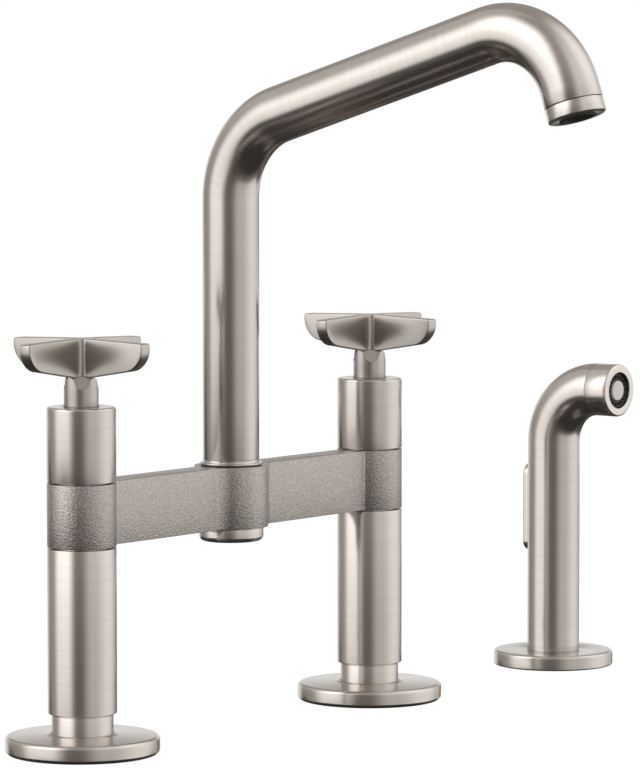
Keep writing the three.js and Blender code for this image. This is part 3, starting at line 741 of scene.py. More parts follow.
class Sweep:
    """A round tube swept in the plane of Y and Z, straight or along arcs."""

    def __init__(self, radius: float, start: Vector) -> None:
        """Starts with a level ring that faces up.

        Args:
            radius: The tube's outer radius.
            start: The ring's centre.
        """
        self.bm = bmesh.new()
        self.layer = self.bm.verts.layers.float.new(GRAIN)
        bmesh.ops.create_circle(self.bm, segments=ROUND, radius=radius,
                                matrix=Matrix.Translation(start))
        self.verts, self.edges = self.bm.verts[:], self.bm.edges[:]
        self.centre = start.copy()
        self.heading = UP.copy()
        self.run = 0.0

    def _advance(self, made: list, length: float) -> None:
        """Takes up the new ring and writes the run so far on it.

        Args:
            made: What the last step made, with the new ring in it.
            length: How far the tube went on.
        """
        self.verts = [item for item in made if isinstance(item, bmesh.types.BMVert)]
        ends = set(self.verts)
        self.edges = [item for item in made
                      if isinstance(item, bmesh.types.BMEdge) and ends.issuperset(item.verts)]
        self.run += length
        for vert in self.verts:
            vert[self.layer] = self.run

    def straight(self, length: float) -> "Sweep":
        """Extrudes the tube straight on.

        Args:
            length: How far.

        Returns:
            This sweep.
        """
        self._advance(bmesh.ops.extrude_edge_only(self.bm, edges=self.edges)["geom"], length)
        bmesh.ops.translate(self.bm, verts=self.verts, vec=self.heading * length)
        self.centre += self.heading * length
        return self

    def bend(self, radius: float, turn: float, steps: int) -> "Sweep":
        """Bends the tube towards the sink and down.

        Args:
            radius: The centreline's radius.
            turn: How far, in radians.
            steps: The bend's rings.

        Returns:
            This sweep.
        """
        axis = Vector((1, 0, 0))
        pivot = self.centre + axis.cross(self.heading) * radius
        step = turn / steps
        turned = Matrix.Rotation(step, 3, axis)
        for _ in range(steps):
            made = bmesh.ops.spin(self.bm, geom=[*self.verts, *self.edges], cent=pivot, axis=axis,
                                  angle=step, steps=1, use_merge=False)
            self._advance(made["geom_last"], radius * step)
            self.centre = pivot + turned @ (self.centre - pivot)
            self.heading = turned @ self.heading
        return self

    def walled(self, wall: float) -> Solid:
        """Gives the tube its wall, which closes it.

        Args:
            wall: The wall's thickness, inwards.

        Returns:
            The solid.
        """
        bmesh.ops.recalc_face_normals(self.bm, faces=self.bm.faces)
        bmesh.ops.solidify(self.bm, geom=self.bm.faces[:], thickness=wall)
        bmesh.ops.recalc_face_normals(self.bm, faces=self.bm.faces)
        return Solid(self.bm)


def radius_of(node: str) -> float:
    """A round CAD node's outer radius, from its box."""
    low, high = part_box(node)
    return (high.x - low.x) / 2


def heights_of(node: str) -> tuple[float, float]:
    """Where a CAD node starts and ends along Z."""
    low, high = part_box(node)
    return low.z, high.z


def middle_of(node: str) -> float:
    """Where the middle of a CAD node lies along X."""
    low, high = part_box(node)
    return (low.x + high.x) / 2


def dress(finish: Finish, *nodes: str) -> None:
    """Gives CAD nodes a finish.

    Args:
        finish: The finish.
        nodes: The nodes, which keep their solids.
    """
    for node in nodes:
        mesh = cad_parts[node].data
        mesh.materials.clear()
        mesh.materials.append(finish.material())
        LOG.info("%s keeps its solid, in %s", node, finish.value.name)


# ---------------------------------------------------------------- below the deck


@dataclass
class Clamp:
    """A deck washer and its nut on a threaded shank.

    Attributes:
        washer: The washer's CAD node.
        nut: The nut's CAD node.
        x: Where they lie along X.
        bore: Their bore's radius.
    """

    washer: str
    nut: str
    x: float
    bore: float
    edge: Edge = (0.4 * MM, 3)
    chamfer_width: float = 1.6 * MM
    chamfer_height: float = 1.2 * MM
    margin: float = 0.1 * MM

    def build(self) -> None:
        """Builds the washer and the nut."""
        disc = Solid.tube(self.bore, radius_of(self.washer), *heights_of(self.washer), self.edge,
                          self.edge, INNER)
        disc.moved(self.x).show(self.washer, Finish.STEEL)
        low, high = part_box(self.nut)
        reach, foot, head = (high.x - low.x) / 2, low.z - self.margin, high.z + self.margin
        body = Solid.raised(self.hexagon((high.y - low.y) / math.sqrt(3)), high.z - low.z)
        chamfer = Solid.turned([
            Corner(0, foot), Corner(reach - self.chamfer_width, foot),
            Corner(reach, low.z + self.chamfer_height), Corner(reach, head), Corner(0, head)])
        hole = Solid.peg(self.bore, low.z - PAST, high.z + PAST, INNER)
        body.moved(z=low.z).combined("INTERSECT", chamfer).combined("DIFFERENCE", hole)
        body.moved(self.x).show(self.nut, Finish.BRASS)

    @staticmethod
    def hexagon(reach: float) -> Outline:
        """A regular hexagon.

        Args:
            reach: From its middle to a corner.

        Returns:
            The closed outline.
        """
        corners = [(reach * math.cos(i * math.pi / 3), reach * math.sin(i * math.pi / 3))
                   for i in range(7)]
        outline = Outline(*corners[0])
        for corner in corners[1:]:
            outline.line(*corner)
        return outline


def threaded(radius: float, base: float, top: float, pitch: float, depth: float) -> list[Corner]:
    """The outer profile of a thread, from its base up.

    Args:
        radius: The crests' radius.
        base: Where the thread starts.
        top: Where it ends.
        pitch: Distance between two crests.
        depth: Height of a crest.

    Returns:
        The corners, from root to crest and back.
    """
    turns = int((top - base) / pitch)
    corners = []
    for i in range(turns):
        corners += [Corner(radius - depth, base + i * pitch),
                    Corner(radius, base + (i + 0.5) * pitch)]
    corners.append(Corner(radius - depth, base + turns * pitch))
    return corners


# ---------------------------------------------------------------- valve pillars


@dataclass
class ValvePillar:
    """One valve: deck flange, collar, two sleeves and a cross handle.

    Attributes:
        side: hot or cold, as its CAD nodes start.
    """

    side: str
    flange_edge: Edge = (1.8 * MM, 8)
    flange_foot: Edge = (0.9 * MM, 4)
    crown: float = 1.0 * MM
    dish_width: float = 0.8 * MM
    dish_rise: float = 0.55 * MM
    dish_edge: Edge = (2.5 * MM, 5)
    lip: float = 0.9 * MM
    collar_radius: float = 13.4 * MM
    neck_depth: float = 0.5 * MM
    neck_height: float = 0.6 * MM
    neck_edge: Edge = (0.12 * MM, 2)
    sleeve_head: Edge = (1.1 * MM, 6)
    sleeve_foot: Edge = (0.6 * MM, 5)
    sleeve_cap: float = 2.8 * MM
    core_radius: float = 12.2 * MM
    inlet_bore: float = 6.0 * MM
    cavity_radius: float = 9.2 * MM
    shank_radius: float = 10.4 * MM
    thread_pitch: float = 1.8 * MM
    thread_depth: float = 0.9 * MM
    play: float = 0.3 * MM
    blade_thickness: float = 6.0 * MM
    blade_fillet: float = 2.6 * MM
    blade_root_depth: float = 16.5 * MM
    blade_end_depth: float = 11.7 * MM
    blade_droop: float = 0.9 * MM
    blade_corner: Edge = (8.5 * MM, 14)
    blade_brow: Edge = (1.1 * MM, 5)
    blade_edge: float = 0.5 * MM
    blade_overlap: float = 2.0 * MM
    stem_radius: float = 7.5 * MM
    stem_play: float = 0.5 * MM
    socket_radius: float = 4.3 * MM
    socket_depth: float = 22.7 * MM
    screw_radius: float = 2.2 * MM
    screw_length: float = 10.0 * MM
    screw_height: float = 11.0 * MM
    scoop_depth: float = 5.2 * MM
    scoop_width: float = 6.6 * MM
    scoop_flare: float = 2.6 * MM
    scoop_slant: float = 0.22

    @property
    def x(self) -> float:
        """The pillar's place along X."""
        return middle_of(self.node("deck_flange"))

    def node(self, part: str) -> str:
        """A CAD node's name on this side."""
        return f"{self.side}_{part}"

    def build(self) -> None:
        """Builds and dresses every piece of the pillar."""
        self.build_flange()
        self.build_body()
        self.build_sleeves()
        Clamp(self.node("deck_washer"), self.node("mounting_nut"), self.x,
              self.shank_radius + self.play).build()
        self.build_handle()
        for finish, parts in ((Finish.RUBBER, ("seat_seal",)),
                              (Finish.CERAMIC, ("fixed_disc", "moving_disc")),
                              (Finish.BRASS, ("cartridge_body", "spindle", "bonnet_nut")),
                              (Finish.STEEL, ("set_screw",))):
            dress(finish, *map(self.node, parts))

    def place(self, solid: Solid, part: str, finish: Finish = Finish.NICKEL, body: str = DECK,
              grain: GrainRule = turned_grain) -> None:
        """Writes the grain on a solid, sets it on the pillar and shows it.

        Args:
            solid: The solid, about Z.
            part: The part that it stands for.
            finish: Its finish.
            body: The CAD body that it rides on.
            grain: What its brush lines follow.
        """
        solid.stamped(grain).moved(self.x).show(self.node(part), finish, body)

    def build_flange(self) -> None:
        """Builds the deck flange and its gasket."""
        low, high = heights_of(self.node("deck_flange"))
        radius = radius_of(self.node("deck_flange"))
        hole = self.collar_radius + self.play
        rim = high - self.crown
        self.place(Solid.turned([
            Corner(hole, low),
            Corner(radius, low, *self.flange_foot),
            Corner(radius, rim, *self.flange_edge),
            Corner(hole + self.lip + self.dish_width, rim + self.dish_rise, *self.dish_edge),
            Corner(hole + self.lip, high, *FINE),
            Corner(hole, high, *CRISP),
        ]), "deck_flange")
        gasket = self.node("deck_gasket")
        self.place(Solid.tube(self.shank_radius + self.play, radius_of(gasket), *heights_of(gasket),
                              EASED, EASED), "deck_gasket", Finish.RUBBER)

    def build_body(self) -> None:
        """Builds the valve body, from its threaded shank to the cartridge's cavity."""
        low, high = heights_of(self.node("valve_body"))
        base = heights_of(self.node("deck_flange"))[0]
        collar = heights_of(self.node("lower_sleeve"))[0]
        seat = heights_of(self.node("seat_seal"))[0]
        neck = self.collar_radius - self.neck_depth
        self.place(Solid.turned([
            Corner(self.inlet_bore, low),
            *threaded(self.shank_radius, low, base - 2 * self.thread_pitch, self.thread_pitch,
                      self.thread_depth),
            Corner(self.shank_radius, base - self.thread_pitch),
            Corner(self.shank_radius, base),
            Corner(self.collar_radius, base),
            Corner(self.collar_radius, collar - self.neck_height, *self.neck_edge),
            Corner(neck, collar - self.neck_height),
            Corner(neck, collar),
            Corner(self.core_radius, collar),
            Corner(self.core_radius, high),
            Corner(self.cavity_radius, high),
            Corner(self.cavity_radius, seat),
            Corner(self.inlet_bore, seat),
        ]), "valve_body")

    def build_sleeves(self) -> None:
        """Builds the lower and upper sleeve."""
        bore = self.core_radius + self.play
        radius = radius_of(self.node("lower_sleeve"))
        self.place(Solid.tube(bore, radius, *heights_of(self.node("lower_sleeve")),
                              self.sleeve_foot, CRISP), "lower_sleeve")
        low, high = heights_of(self.node("upper_sleeve"))
        hole = self.stem_radius + self.stem_play
        self.place(Solid.turned([
            Corner(bore, low),
            Corner(radius, low, *CRISP),
            Corner(radius, high, *self.sleeve_head),
            Corner(hole, high, *CRISP),
            Corner(hole, high - self.sleeve_cap),
            Corner(bore, high - self.sleeve_cap),
        ]), "upper_sleeve")

    def build_handle(self) -> None:
        """Builds the cross handle: four blades on a scooped stem."""
        low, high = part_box(self.node("cross_handle"))
        root = high.z - self.blade_root_depth
        stem_top = root + self.blade_overlap
        handle = Solid.turned([
            Corner(0, low.z),
            Corner(self.stem_radius, low.z, *EASED),
            Corner(self.stem_radius, stem_top),
            Corner(0, stem_top),
        ])
        corner = self.blade_thickness / 2 + self.blade_fillet
        inner = math.sqrt(2) * corner - self.blade_fillet
        handle.combined("DIFFERENCE", *(
            self.scoop(root, stem_top, inner).placed(Matrix.Rotation(math.pi * k / 4, 4, "Z"))
            for k in (1, 3, 5, 7)))
        handle.combined("UNION", self.blades((high.x - low.x) / 2, root, high.z))
        socket = Solid.peg(self.socket_radius, low.z - PAST, low.z + self.socket_depth, INNER)
        tapped = Solid.peg(self.screw_radius, 0, self.screw_length, INNER)
        tapped.placed(Matrix.Rotation(-math.pi / 2, 4, "X")).moved(z=low.z + self.screw_height)
        handle.combined("DIFFERENCE", socket, tapped)
        # The handle takes the rougher nickel, whose darker colour is painted shade.
        self.place(handle, "cross_handle", Finish.SHADED_ROUGH, f"{self.side}_handle", self.blade_grain)

    def blades(self, reach: float, root: float, top: float) -> Solid:
        """The four blades, which taper from the stem outwards and are round at their ends.

        Args:
            reach: From the axis to a blade's end.
            root: Height of the blades' underside at the stem.
            top: The handle's top.

        Returns:
            The blades, joined in the middle.
        """
        half = self.blade_thickness / 2
        solid = Solid.raised(self.cross_plan(reach, half), top - root).moved(z=root)
        for across in (0, 1):
            for side in (self.stem_radius, -self.stem_radius):
                for level in (root, top):
                    solid.joined(lambda point: near(point[across], side) and near(point.z, level)
                                 and near(abs(point[1 - across]), half))

        def at_end(level: float) -> PointTest:
            """A test for the corners of the blades' ends at a level."""
            return lambda point: (near(max(abs(point.x), abs(point.y)), reach)
                                  and near(point.z, level))
        for level, goal, edge in ((root, top - self.blade_end_depth, self.blade_corner),
                                  (top, top - self.blade_droop, self.blade_brow)):
            solid.shifted(at_end(level), goal - level)
            solid.rounded(at_end(goal), *edge)
        return solid.eased(self.blade_edge, 38.0, 3)

    def cross_plan(self, reach: float, half: float) -> Outline:
        """The plan of the four blades.

        Args:
            reach: From the axis to a blade's end.
            half: Half a blade's thickness.

        Returns:
            The closed outline.
        """
        corner = half + self.blade_fillet
        outline = Outline(reach, -half)
        ends = [(reach, half), (-half, reach), (-reach, -half), (half, -reach)]
        starts = [(half, reach), (-reach, half), (-half, -reach), (reach, -half)]
        signs = [(1, 1), (-1, 1), (-1, -1), (1, -1)]
        for quarter, ((sx, sy), end, start) in enumerate(zip(signs, ends, starts)):
            outline.line(*end)
            hinge, entry = (self.stem_radius, half), (corner, half)
            if quarter % 2:
                hinge, entry = hinge[::-1], entry[::-1]
            outline.line(hinge[0] * sx, hinge[1] * sy).line(entry[0] * sx, entry[1] * sy)
            outline.arc(corner * sx, corner * sy, -math.pi / 2, 10)
            outline.line(hinge[1] * sx, hinge[0] * sy).line(*start)
        return outline

    def scoop(self, root: float, top: float, inner: float) -> Solid:
        """A cutter for the hollow that carries an inner corner down into the stem.

        Args:
            root: Height of the blades' underside.
            top: How far up the stem goes.
            inner: How near the cutter comes to the axis at the blades' underside.

        Returns:
            The cutter, along +X.
        """
        half, flare, slant = self.scoop_width / 2, self.scoop_flare, self.scoop_slant
        foot = root - self.scoop_depth + half
        mouth, head, wide = root - foot - flare, top - foot + self.play, half + flare
        outline = Outline(wide, head)
        outline.line(wide, mouth + flare).arc(wide, mouth, math.pi / 2, 8)
        outline.line(half, 0).arc(0, 0, -math.pi, 16)
        outline.line(-half, mouth).arc(-wide, mouth, math.pi / 2, 8)
        outline.line(-wide, head).line(wide, head)
        cutter = Solid.raised(outline, 2 * self.stem_radius)
        return cutter.placed(Matrix((
            (0, -slant, 1, inner + slant * (root - foot)), (1, 0, 0, 0), (0, 1, 0, foot),
            (0, 0, 0, 1))))

    @staticmethod
    def blade_grain(point: Vector) -> float:
        """Brush lines run level along each blade, and round the stem."""
        across = point.y if abs(point.x) > abs(point.y) else point.x
        return point.z + across


# ---------------------------------------------------------------- bridge


@dataclass
class Bridge:
    """The cast bridge with its rings and hub, and the hub's cap."""

    arm_thickness: float = 14.4 * MM
    ring_fillet: float = 1.2 * MM
    hub_fillet: float = 9.0 * MM
    hub_radius: float = 16.6 * MM
    ring_radius: float = 15.0 * MM
    ring_bore: float = 12.5 * MM
    hub_bore: float = 12.3 * MM
    play: float = 0.3 * MM
    edge: float = 0.35 * MM
    seam: float = 0.15 * MM
    cap_edge: Edge = (2.6 * MM, 10)
    cap_wall: float = 1.7 * MM

    def build(self) -> None:
        """Builds and dresses the bridge and the cap."""
        low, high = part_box("bridge_body")
        span = (high.x - low.x) / 2 - self.ring_radius
        body = Solid.raised(self.outline(span), high.z - low.z).moved(z=low.z)
        body.eased(self.edge, 60.0, 2)
        body.combined("DIFFERENCE", *(
            Solid.peg(radius, low.z - PAST, high.z + PAST).moved(x)
            for x, radius in ((-span, self.ring_bore), (0, self.hub_bore), (span, self.ring_bore))))
        # The bridge takes the casting finish, with painted shade in its pits.
        body.show("bridge_body", Finish.SHADED_CASTING)
        self.build_cap(low.z)

    def outline(self, span: float) -> Outline:
        """The bridge seen from above.

        Args:
            span: From the hub's axis to a ring's axis.

        Returns:
            The closed outline.
        """
        half, up = self.arm_thickness / 2, math.pi / 2
        offset, hub_offset = half + self.ring_fillet, half + self.hub_fillet
        ring_reach = self.ring_radius + self.ring_fillet
        hub_reach = self.hub_radius + self.hub_fillet
        hub = math.asin(hub_offset / hub_reach)
        ring = math.asin(offset / ring_reach)
        hub_run = hub_reach * math.cos(hub)
        ring_run = span - ring_reach * math.cos(ring)
        outline = Outline(-hub_run, -half)
        for sign in (1, -1):
            outline.line(-sign * hub_run, -sign * half)
            outline.arc(-sign * hub_run, -sign * hub_offset, hub - up, 16)
            outline.arc(0, 0, math.pi - 2 * hub, 32)
            outline.arc(sign * hub_run, -sign * hub_offset, hub - up, 16)
            outline.line(sign * ring_run, -sign * half)
            outline.arc(sign * ring_run, -sign * offset, ring - up, 8)
            outline.arc(sign * span, 0, 2 * (math.pi - ring), 72)
            outline.arc(sign * ring_run, sign * offset, ring - up, 8)
        return outline.line(-hub_run, -half)

    def build_cap(self, band: float) -> None:
        """Builds the hub's cap.

        Args:
            band: Height of the band's underside, which the cap meets.
        """
        low, high = heights_of("hub_cap")
        radius = radius_of("hub_cap")
        spigot = self.hub_bore - self.play
        cavity = spigot - self.cap_wall
        Solid.turned([
            Corner(0, low),
            Corner(radius, low, *self.cap_edge),
            Corner(radius, band - self.seam, *FINE),
            Corner(spigot, band - self.seam),
            Corner(spigot, high),
            Corner(cavity, high),
            Corner(cavity, low + self.cap_wall),
            Corner(0, low + self.cap_wall),
        ]).stamped(turned_grain).show("hub_cap", Finish.NICKEL)


# ---------------------------------------------------------------- spout


@dataclass
class Spout:
    """The swivel spout, its foot in the hub and the aerator in its tip."""

    tube_radius: float = 12.64 * MM
    tube_wall: float = 1.6 * MM
    tube_edge: float = 0.3 * MM
    corner_height: float = 265.6 * MM
    slope: float = math.radians(17.0)
    slope_run: float = 173.5 * MM
    first_bend: float = 40.0 * MM
    second_bend: float = 34.5 * MM
    second_turn: float = math.radians(89.0)
    bend_steps: int = 28
    tip_below_corner: float = 46.5 * MM
    tip_ring: float = 6.4 * MM
    tip_seam: float = 0.3 * MM
    tip_edge: Edge = (1.2 * MM, 6)
    tip_spigot: float = 7.0 * MM
    rim_land: float = 4.2 * MM
    rim_bevel: float = 0.4 * MM
    housing_proud: float = 0.5 * MM
    housing_wall: float = 1.2 * MM
    housing_depth: float = 11.0 * MM
    housing_edge: Edge = (0.3 * MM, 3)
    play: float = 0.3 * MM
    foot_bore: float = 8.0 * MM
    foot_radius: float = 12.0 * MM
    flange_radius: float = 14.1 * MM
    flange_lip: float = 0.8 * MM
    flange_foot: Edge = (0.2 * MM, 3)
    flange_head: Edge = (0.3 * MM, 4)
    flange_fillet: Edge = (0.6 * MM, 6)

    @property
    def tip(self) -> Matrix:
        """From the tip's own axis, outlet face at zero and inwards up, to its place."""
        tilt = self.second_turn - self.slope
        rise = self.slope_run * math.tan(self.slope)
        corner = Vector((0, -self.slope_run, self.corner_height + rise))
        way = Vector((0, -math.cos(tilt), -math.sin(tilt)))
        return Matrix.Translation(corner + way * self.tip_below_corner) @ Matrix.Rotation(
            tilt - math.pi / 2, 4, "X")

    @property
    def spigot(self) -> float:
        """Outer radius of what goes into the tube."""
        return self.tube_radius - self.tube_wall - self.play

    def build(self) -> None:
        """Builds and dresses the spout."""
        self.build_tube()
        self.build_foot()
        self.build_tip()
        dress(Finish.RUBBER, "spout_lower_o_ring", "spout_upper_o_ring")
        dress(Finish.STEEL, "spout_retaining_washer", "spout_retaining_screw")

    def build_tube(self) -> None:
        """Builds the bent tube."""
        foot = heights_of("spout_tube")[0]
        first_turn = math.pi / 2 - self.slope
        first_set = self.first_bend * math.tan(first_turn / 2)
        second_set = self.second_bend * math.tan(self.second_turn / 2)
        sweep = Sweep(self.tube_radius, Vector((0, 0, foot)))
        sweep.straight(self.corner_height - first_set - foot)
        sweep.bend(self.first_bend, first_turn, self.bend_steps)
        sweep.straight(self.slope_run / math.cos(self.slope) - first_set - second_set)
        sweep.bend(self.second_bend, self.second_turn, self.bend_steps)
        sweep.straight(self.tip_below_corner - second_set - self.tip_ring - self.tip_seam)
        sweep.walled(self.tube_wall).eased(self.tube_edge, 60.0, 2).show(
            "spout_tube", Finish.NICKEL, "spout")

    def build_foot(self) -> None:
        """Builds the thrust ring and the small flange on which the tube stands."""
        low, base = heights_of("spout_thrust_ring")
        Solid.tube(self.foot_radius + self.play, radius_of("spout_thrust_ring"), low, base).show(
            "spout_thrust_ring", Finish.BLACK)
        low, high = heights_of("spout_nipple")
        tube_foot = heights_of("spout_tube")[0]
        lip = base + self.flange_lip
        Solid.turned([
            Corner(self.foot_bore, low),
            Corner(self.foot_radius, low),
            Corner(self.foot_radius, base),
            Corner(self.flange_radius, base, *self.flange_foot),
            Corner(self.flange_radius, lip, *self.flange_head),
            Corner(self.tube_radius, lip, *self.flange_fillet),
            Corner(self.tube_radius, tube_foot),
            Corner(self.spigot, tube_foot),
            Corner(self.spigot, high),
            Corner(self.foot_bore, high),
        ]).stamped(turned_grain).show("spout_nipple", Finish.NICKEL, "spout")

    def build_tip(self) -> None:
        """Builds the tip ring, the aerator's housing and its screen."""
        bore = self.tube_radius - self.rim_land
        inner = bore - self.rim_bevel
        back = self.tip_ring + self.tip_spigot
        Solid.turned([
            Corner(inner, self.rim_bevel),
            Corner(bore, 0, *CRISP),
            Corner(self.tube_radius, 0, *self.tip_edge),
            Corner(self.tube_radius, self.tip_ring, *FINE),
            Corner(self.spigot, self.tip_ring),
            Corner(self.spigot, back),
            Corner(inner, back),
        ]).stamped(turned_grain).placed(self.tip).show("aerator_ring", Finish.NICKEL, "spout")
        outer = inner - self.play
        hollow = outer - self.housing_wall
        face, back = -self.housing_proud, self.housing_depth - self.housing_proud
        Solid.turned([
            Corner(hollow, face, *FINE),
            Corner(outer, face, *self.housing_edge),
            Corner(outer, back),
            Corner(hollow, back),
        ]).placed(self.tip).show("aerator_housing", Finish.BLACK, "spout")
        dress(Finish.BLACK, "aerator_screen")


# ---------------------------------------------------------------- side spray


@dataclass
class SideSpray:
    """The side spray: holder, bent body, nose and thumb trigger."""

    radius: float = 12.7 * MM
    wall: float = 2.0 * MM
    play: float = 0.3 * MM
    bend: float = 26.5 * MM
    bend_steps: int = 24
    outlet_height: float = 136.4 * MM
    nose: float = 11.9 * MM
    seam: float = 0.3 * MM
    nose_edge: Edge = (1.2 * MM, 5)
    nose_back: Edge = (0.1 * MM, 2)
    nose_bore: float = 8.7 * MM
    nose_mouth: Edge = (0.35 * MM, 3)
    nose_spigot: float = 2.2 * MM
    nozzle_recess: float = 1.4 * MM
    nozzle_thickness: float = 3.0 * MM
    nozzles: int = 18
    nozzle_sides: int = 12
    nozzle_radius: float = 0.55 * MM
    disc_radius: float = 4.8 * MM
    disc_proud: float = 0.8 * MM
    disc_length: float = 4.0 * MM
    disc_edge: Edge = (0.5 * MM, 4)
    spigot_radius: float = 11.6 * MM
    spigot_wall: float = 2.0 * MM
    spigot_edge: Edge = (0.6 * MM, 3)
    spigot_inset: float = 0.05 * MM
    spigot_rise: float = 0.02 * MM
    spigot_overlap: float = 4.0 * MM
    foot_gap: float = 0.03 * MM
    flange_edge: Edge = (1.6 * MM, 8)
    flange_foot: Edge = (0.8 * MM, 4)
    flange_lip: float = 2.6 * MM
    guide_radius: float = 15.0 * MM
    guide_wall: float = 1.8 * MM
    guide_neck: float = 1.0 * MM
    thread_pitch: float = 1.8 * MM
    thread_depth: float = 0.9 * MM
    window_play: float = 0.5 * MM
    paddle_depth: float = 6.2 * MM
    paddle_edge: float = 0.8 * MM

    @property
    def x(self) -> float:
        """The spray's place along X."""
        return middle_of("spray_flange")

    @property
    def face(self) -> Matrix:
        """From the nose's own axis, face at zero and inwards up, to its place."""
        return Matrix.Translation((self.x, -(self.bend + self.seam + self.nose),
                                   self.outlet_height)) @ Matrix.Rotation(-math.pi / 2, 4, "X")

    def build(self) -> None:
        """Builds and dresses the spray."""
        self.build_holder()
        self.build_body()
        self.build_nose()
        self.build_trigger()
        dress(Finish.PALE, "spray_guide_bush")
        dress(Finish.BRASS, "spray_hose_nipple")
        dress(Finish.BLACK, "spray_valve_housing")
        dress(Finish.STEEL, "spray_valve_pin", "spray_valve_spring", "trigger_pivot_pin")

    def build_holder(self) -> None:
        """Builds the deck flange, the guide shank, the washer and the nut."""
        low, high = heights_of("spray_flange")
        rim = radius_of("spray_flange")
        hole, lip = self.guide_radius + self.play, self.spigot_radius + self.play
        Solid.turned([
            Corner(hole, low),
            Corner(rim, low, *self.flange_foot),
            Corner(rim, high, *self.flange_edge),
            Corner(lip, high, *FINE),
            Corner(lip, high - self.flange_lip),
            Corner(hole, high - self.flange_lip),
        ]).stamped(turned_grain).moved(self.x).show("spray_flange", Finish.NICKEL)
        low, high = heights_of("spray_guide_shank")
        bore = self.guide_radius - self.guide_wall
        Solid.turned([
            Corner(bore, low),
            *threaded(self.guide_radius, low, -2 * self.guide_neck, self.thread_pitch,
                      self.thread_depth),
            Corner(self.guide_radius, -self.guide_neck),
            Corner(self.guide_radius, high),
            Corner(bore, high),
        ]).moved(self.x).show("spray_guide_shank", Finish.BRASS)
        Clamp("spray_deck_washer", "spray_lock_nut", self.x, hole).build()

    def build_body(self) -> None:
        """Builds the bent body, with its spigot and the trigger's window."""
        base = heights_of("spray_flange")[1]
        foot = base + self.foot_gap
        sweep = Sweep(self.radius, Vector((self.x, 0, foot)))
        sweep.straight(self.outlet_height - self.bend - foot)
        sweep.bend(self.bend, math.pi / 2, self.bend_steps)
        low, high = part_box("trigger_paddle")
        window = self.slot_block((high.x - low.x) / 2 + self.window_play, low.z - self.window_play,
                                 high.z + self.window_play, 0, 2 * self.radius)
        body = sweep.walled(self.wall).combined("DIFFERENCE", window.moved(self.x))
        body.show("spray_body", Finish.NICKEL, "spray_handset")
        low, _ = heights_of("spray_body")
        bore = self.spigot_radius - self.spigot_wall
        inset = self.radius - self.wall - self.spigot_inset
        Solid.turned([
            Corner(bore, low),
            Corner(self.spigot_radius, low, *self.spigot_edge),
            Corner(self.spigot_radius, base),
            Corner(inset, base + self.spigot_rise),
            Corner(inset, base + self.spigot_overlap),
            Corner(bore, base + self.spigot_overlap),
        ]).stamped(turned_grain).moved(self.x).finish(
            "spray_spigot", Finish.NICKEL, "spray_handset")

    @staticmethod
    def slot_block(half: float, foot: float, head: float, start: float, end: float) -> Solid:
        """An upright block with round ends, seen along Y.

        Args:
            half: Half its width.
            foot: Its lowest point.
            head: Its highest point.
            start: Where it starts along Y.
            end: Where it ends along Y.

        Returns:
            The block.
        """
        outline = Outline(half, foot + half)
        outline.line(half, head - half).arc(0, head - half, math.pi, 24)
        outline.line(-half, foot + half).arc(0, foot + half, math.pi, 24)
        upright = Matrix(((1, 0, 0, 0), (0, 0, -1, end), (0, 1, 0, 0), (0, 0, 0, 1)))
        return Solid.raised(outline, end - start).placed(upright)

    def build_nose(self) -> None:
        """Builds the nose ring, the nozzle ring with its nozzles and the centre disc."""
        spigot = self.radius - self.wall - self.play
        back, end = self.nose + self.seam / 2, self.nose + self.nose_spigot
        # The nose ring takes the lighter nickel, a painted highlight.
        Solid.turned([
            Corner(self.nose_bore, 0, *self.nose_mouth),
            Corner(self.radius, 0, *self.nose_edge),
            Corner(self.radius, back, *self.nose_back),
            Corner(spigot, back),
            Corner(spigot, end),
            Corner(self.nose_bore, end),
        ]).stamped(turned_grain).placed(self.face).show(
            "spray_nose_ring", Finish.LIT_NICKEL, "spray_handset")
        outer, inner = self.nose_bore - self.play, self.disc_radius + self.play
        top, back = self.nozzle_recess, self.nozzle_recess + self.nozzle_thickness
        plate = Solid.turned([Corner(inner, top, *FINE), Corner(outer, top, *FINE),
                              Corner(outer, back), Corner(inner, back)])
        turns = (math.tau * i / self.nozzles for i in range(self.nozzles))
        pitch = (outer + inner) / 2
        plate.combined("UNION", *(
            self.nozzle().moved(pitch * math.cos(turn), pitch * math.sin(turn)) for turn in turns))
        plate.placed(self.face).show("spray_nozzle_ring", Finish.BLACK, "spray_handset")
        top -= self.disc_proud
        Solid.turned([
            Corner(0, top),
            Corner(self.disc_radius, top, *self.disc_edge),
            Corner(self.disc_radius, top + self.disc_length),
            Corner(0, top + self.disc_length),
        ]).placed(self.face).show("spray_centre_disc", Finish.PALE, "spray_handset")

    def nozzle(self) -> Solid:
        """One nozzle: a short cone with a dimple, its foot sunk into the plate.

        Returns:
            The nozzle, about Z.
        """
        rows = ((0, -0.2), (0.2, -0.2), (0.3, -0.8))   # the dimple's radii and heights, in mm
        flank = ((0.0, -0.7), (0.15, 0.5))             # the flank's, from the nozzle's radius
        corners = [Corner(radius * MM, self.nozzle_recess + height * MM) for radius, height in rows]
        corners += [Corner(self.nozzle_radius + radius * MM, self.nozzle_recess + height * MM)
                    for radius, height in flank]
        return Solid.turned([*corners, Corner(0, corners[-1].height)], self.nozzle_sides)

    def build_trigger(self) -> None:
        """Builds the thumb paddle."""
        low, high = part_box("trigger_paddle")
        paddle = self.slot_block((high.x - low.x) / 2, low.z, high.z, high.y - self.paddle_depth,
                                 high.y)
        paddle.eased(self.paddle_edge, 60.0, 4).stamped(lambda point: point.z).moved(self.x)
        paddle.show("trigger_paddle", Finish.NICKEL, "trigger")


# ---------------------------------------------------------------- studio


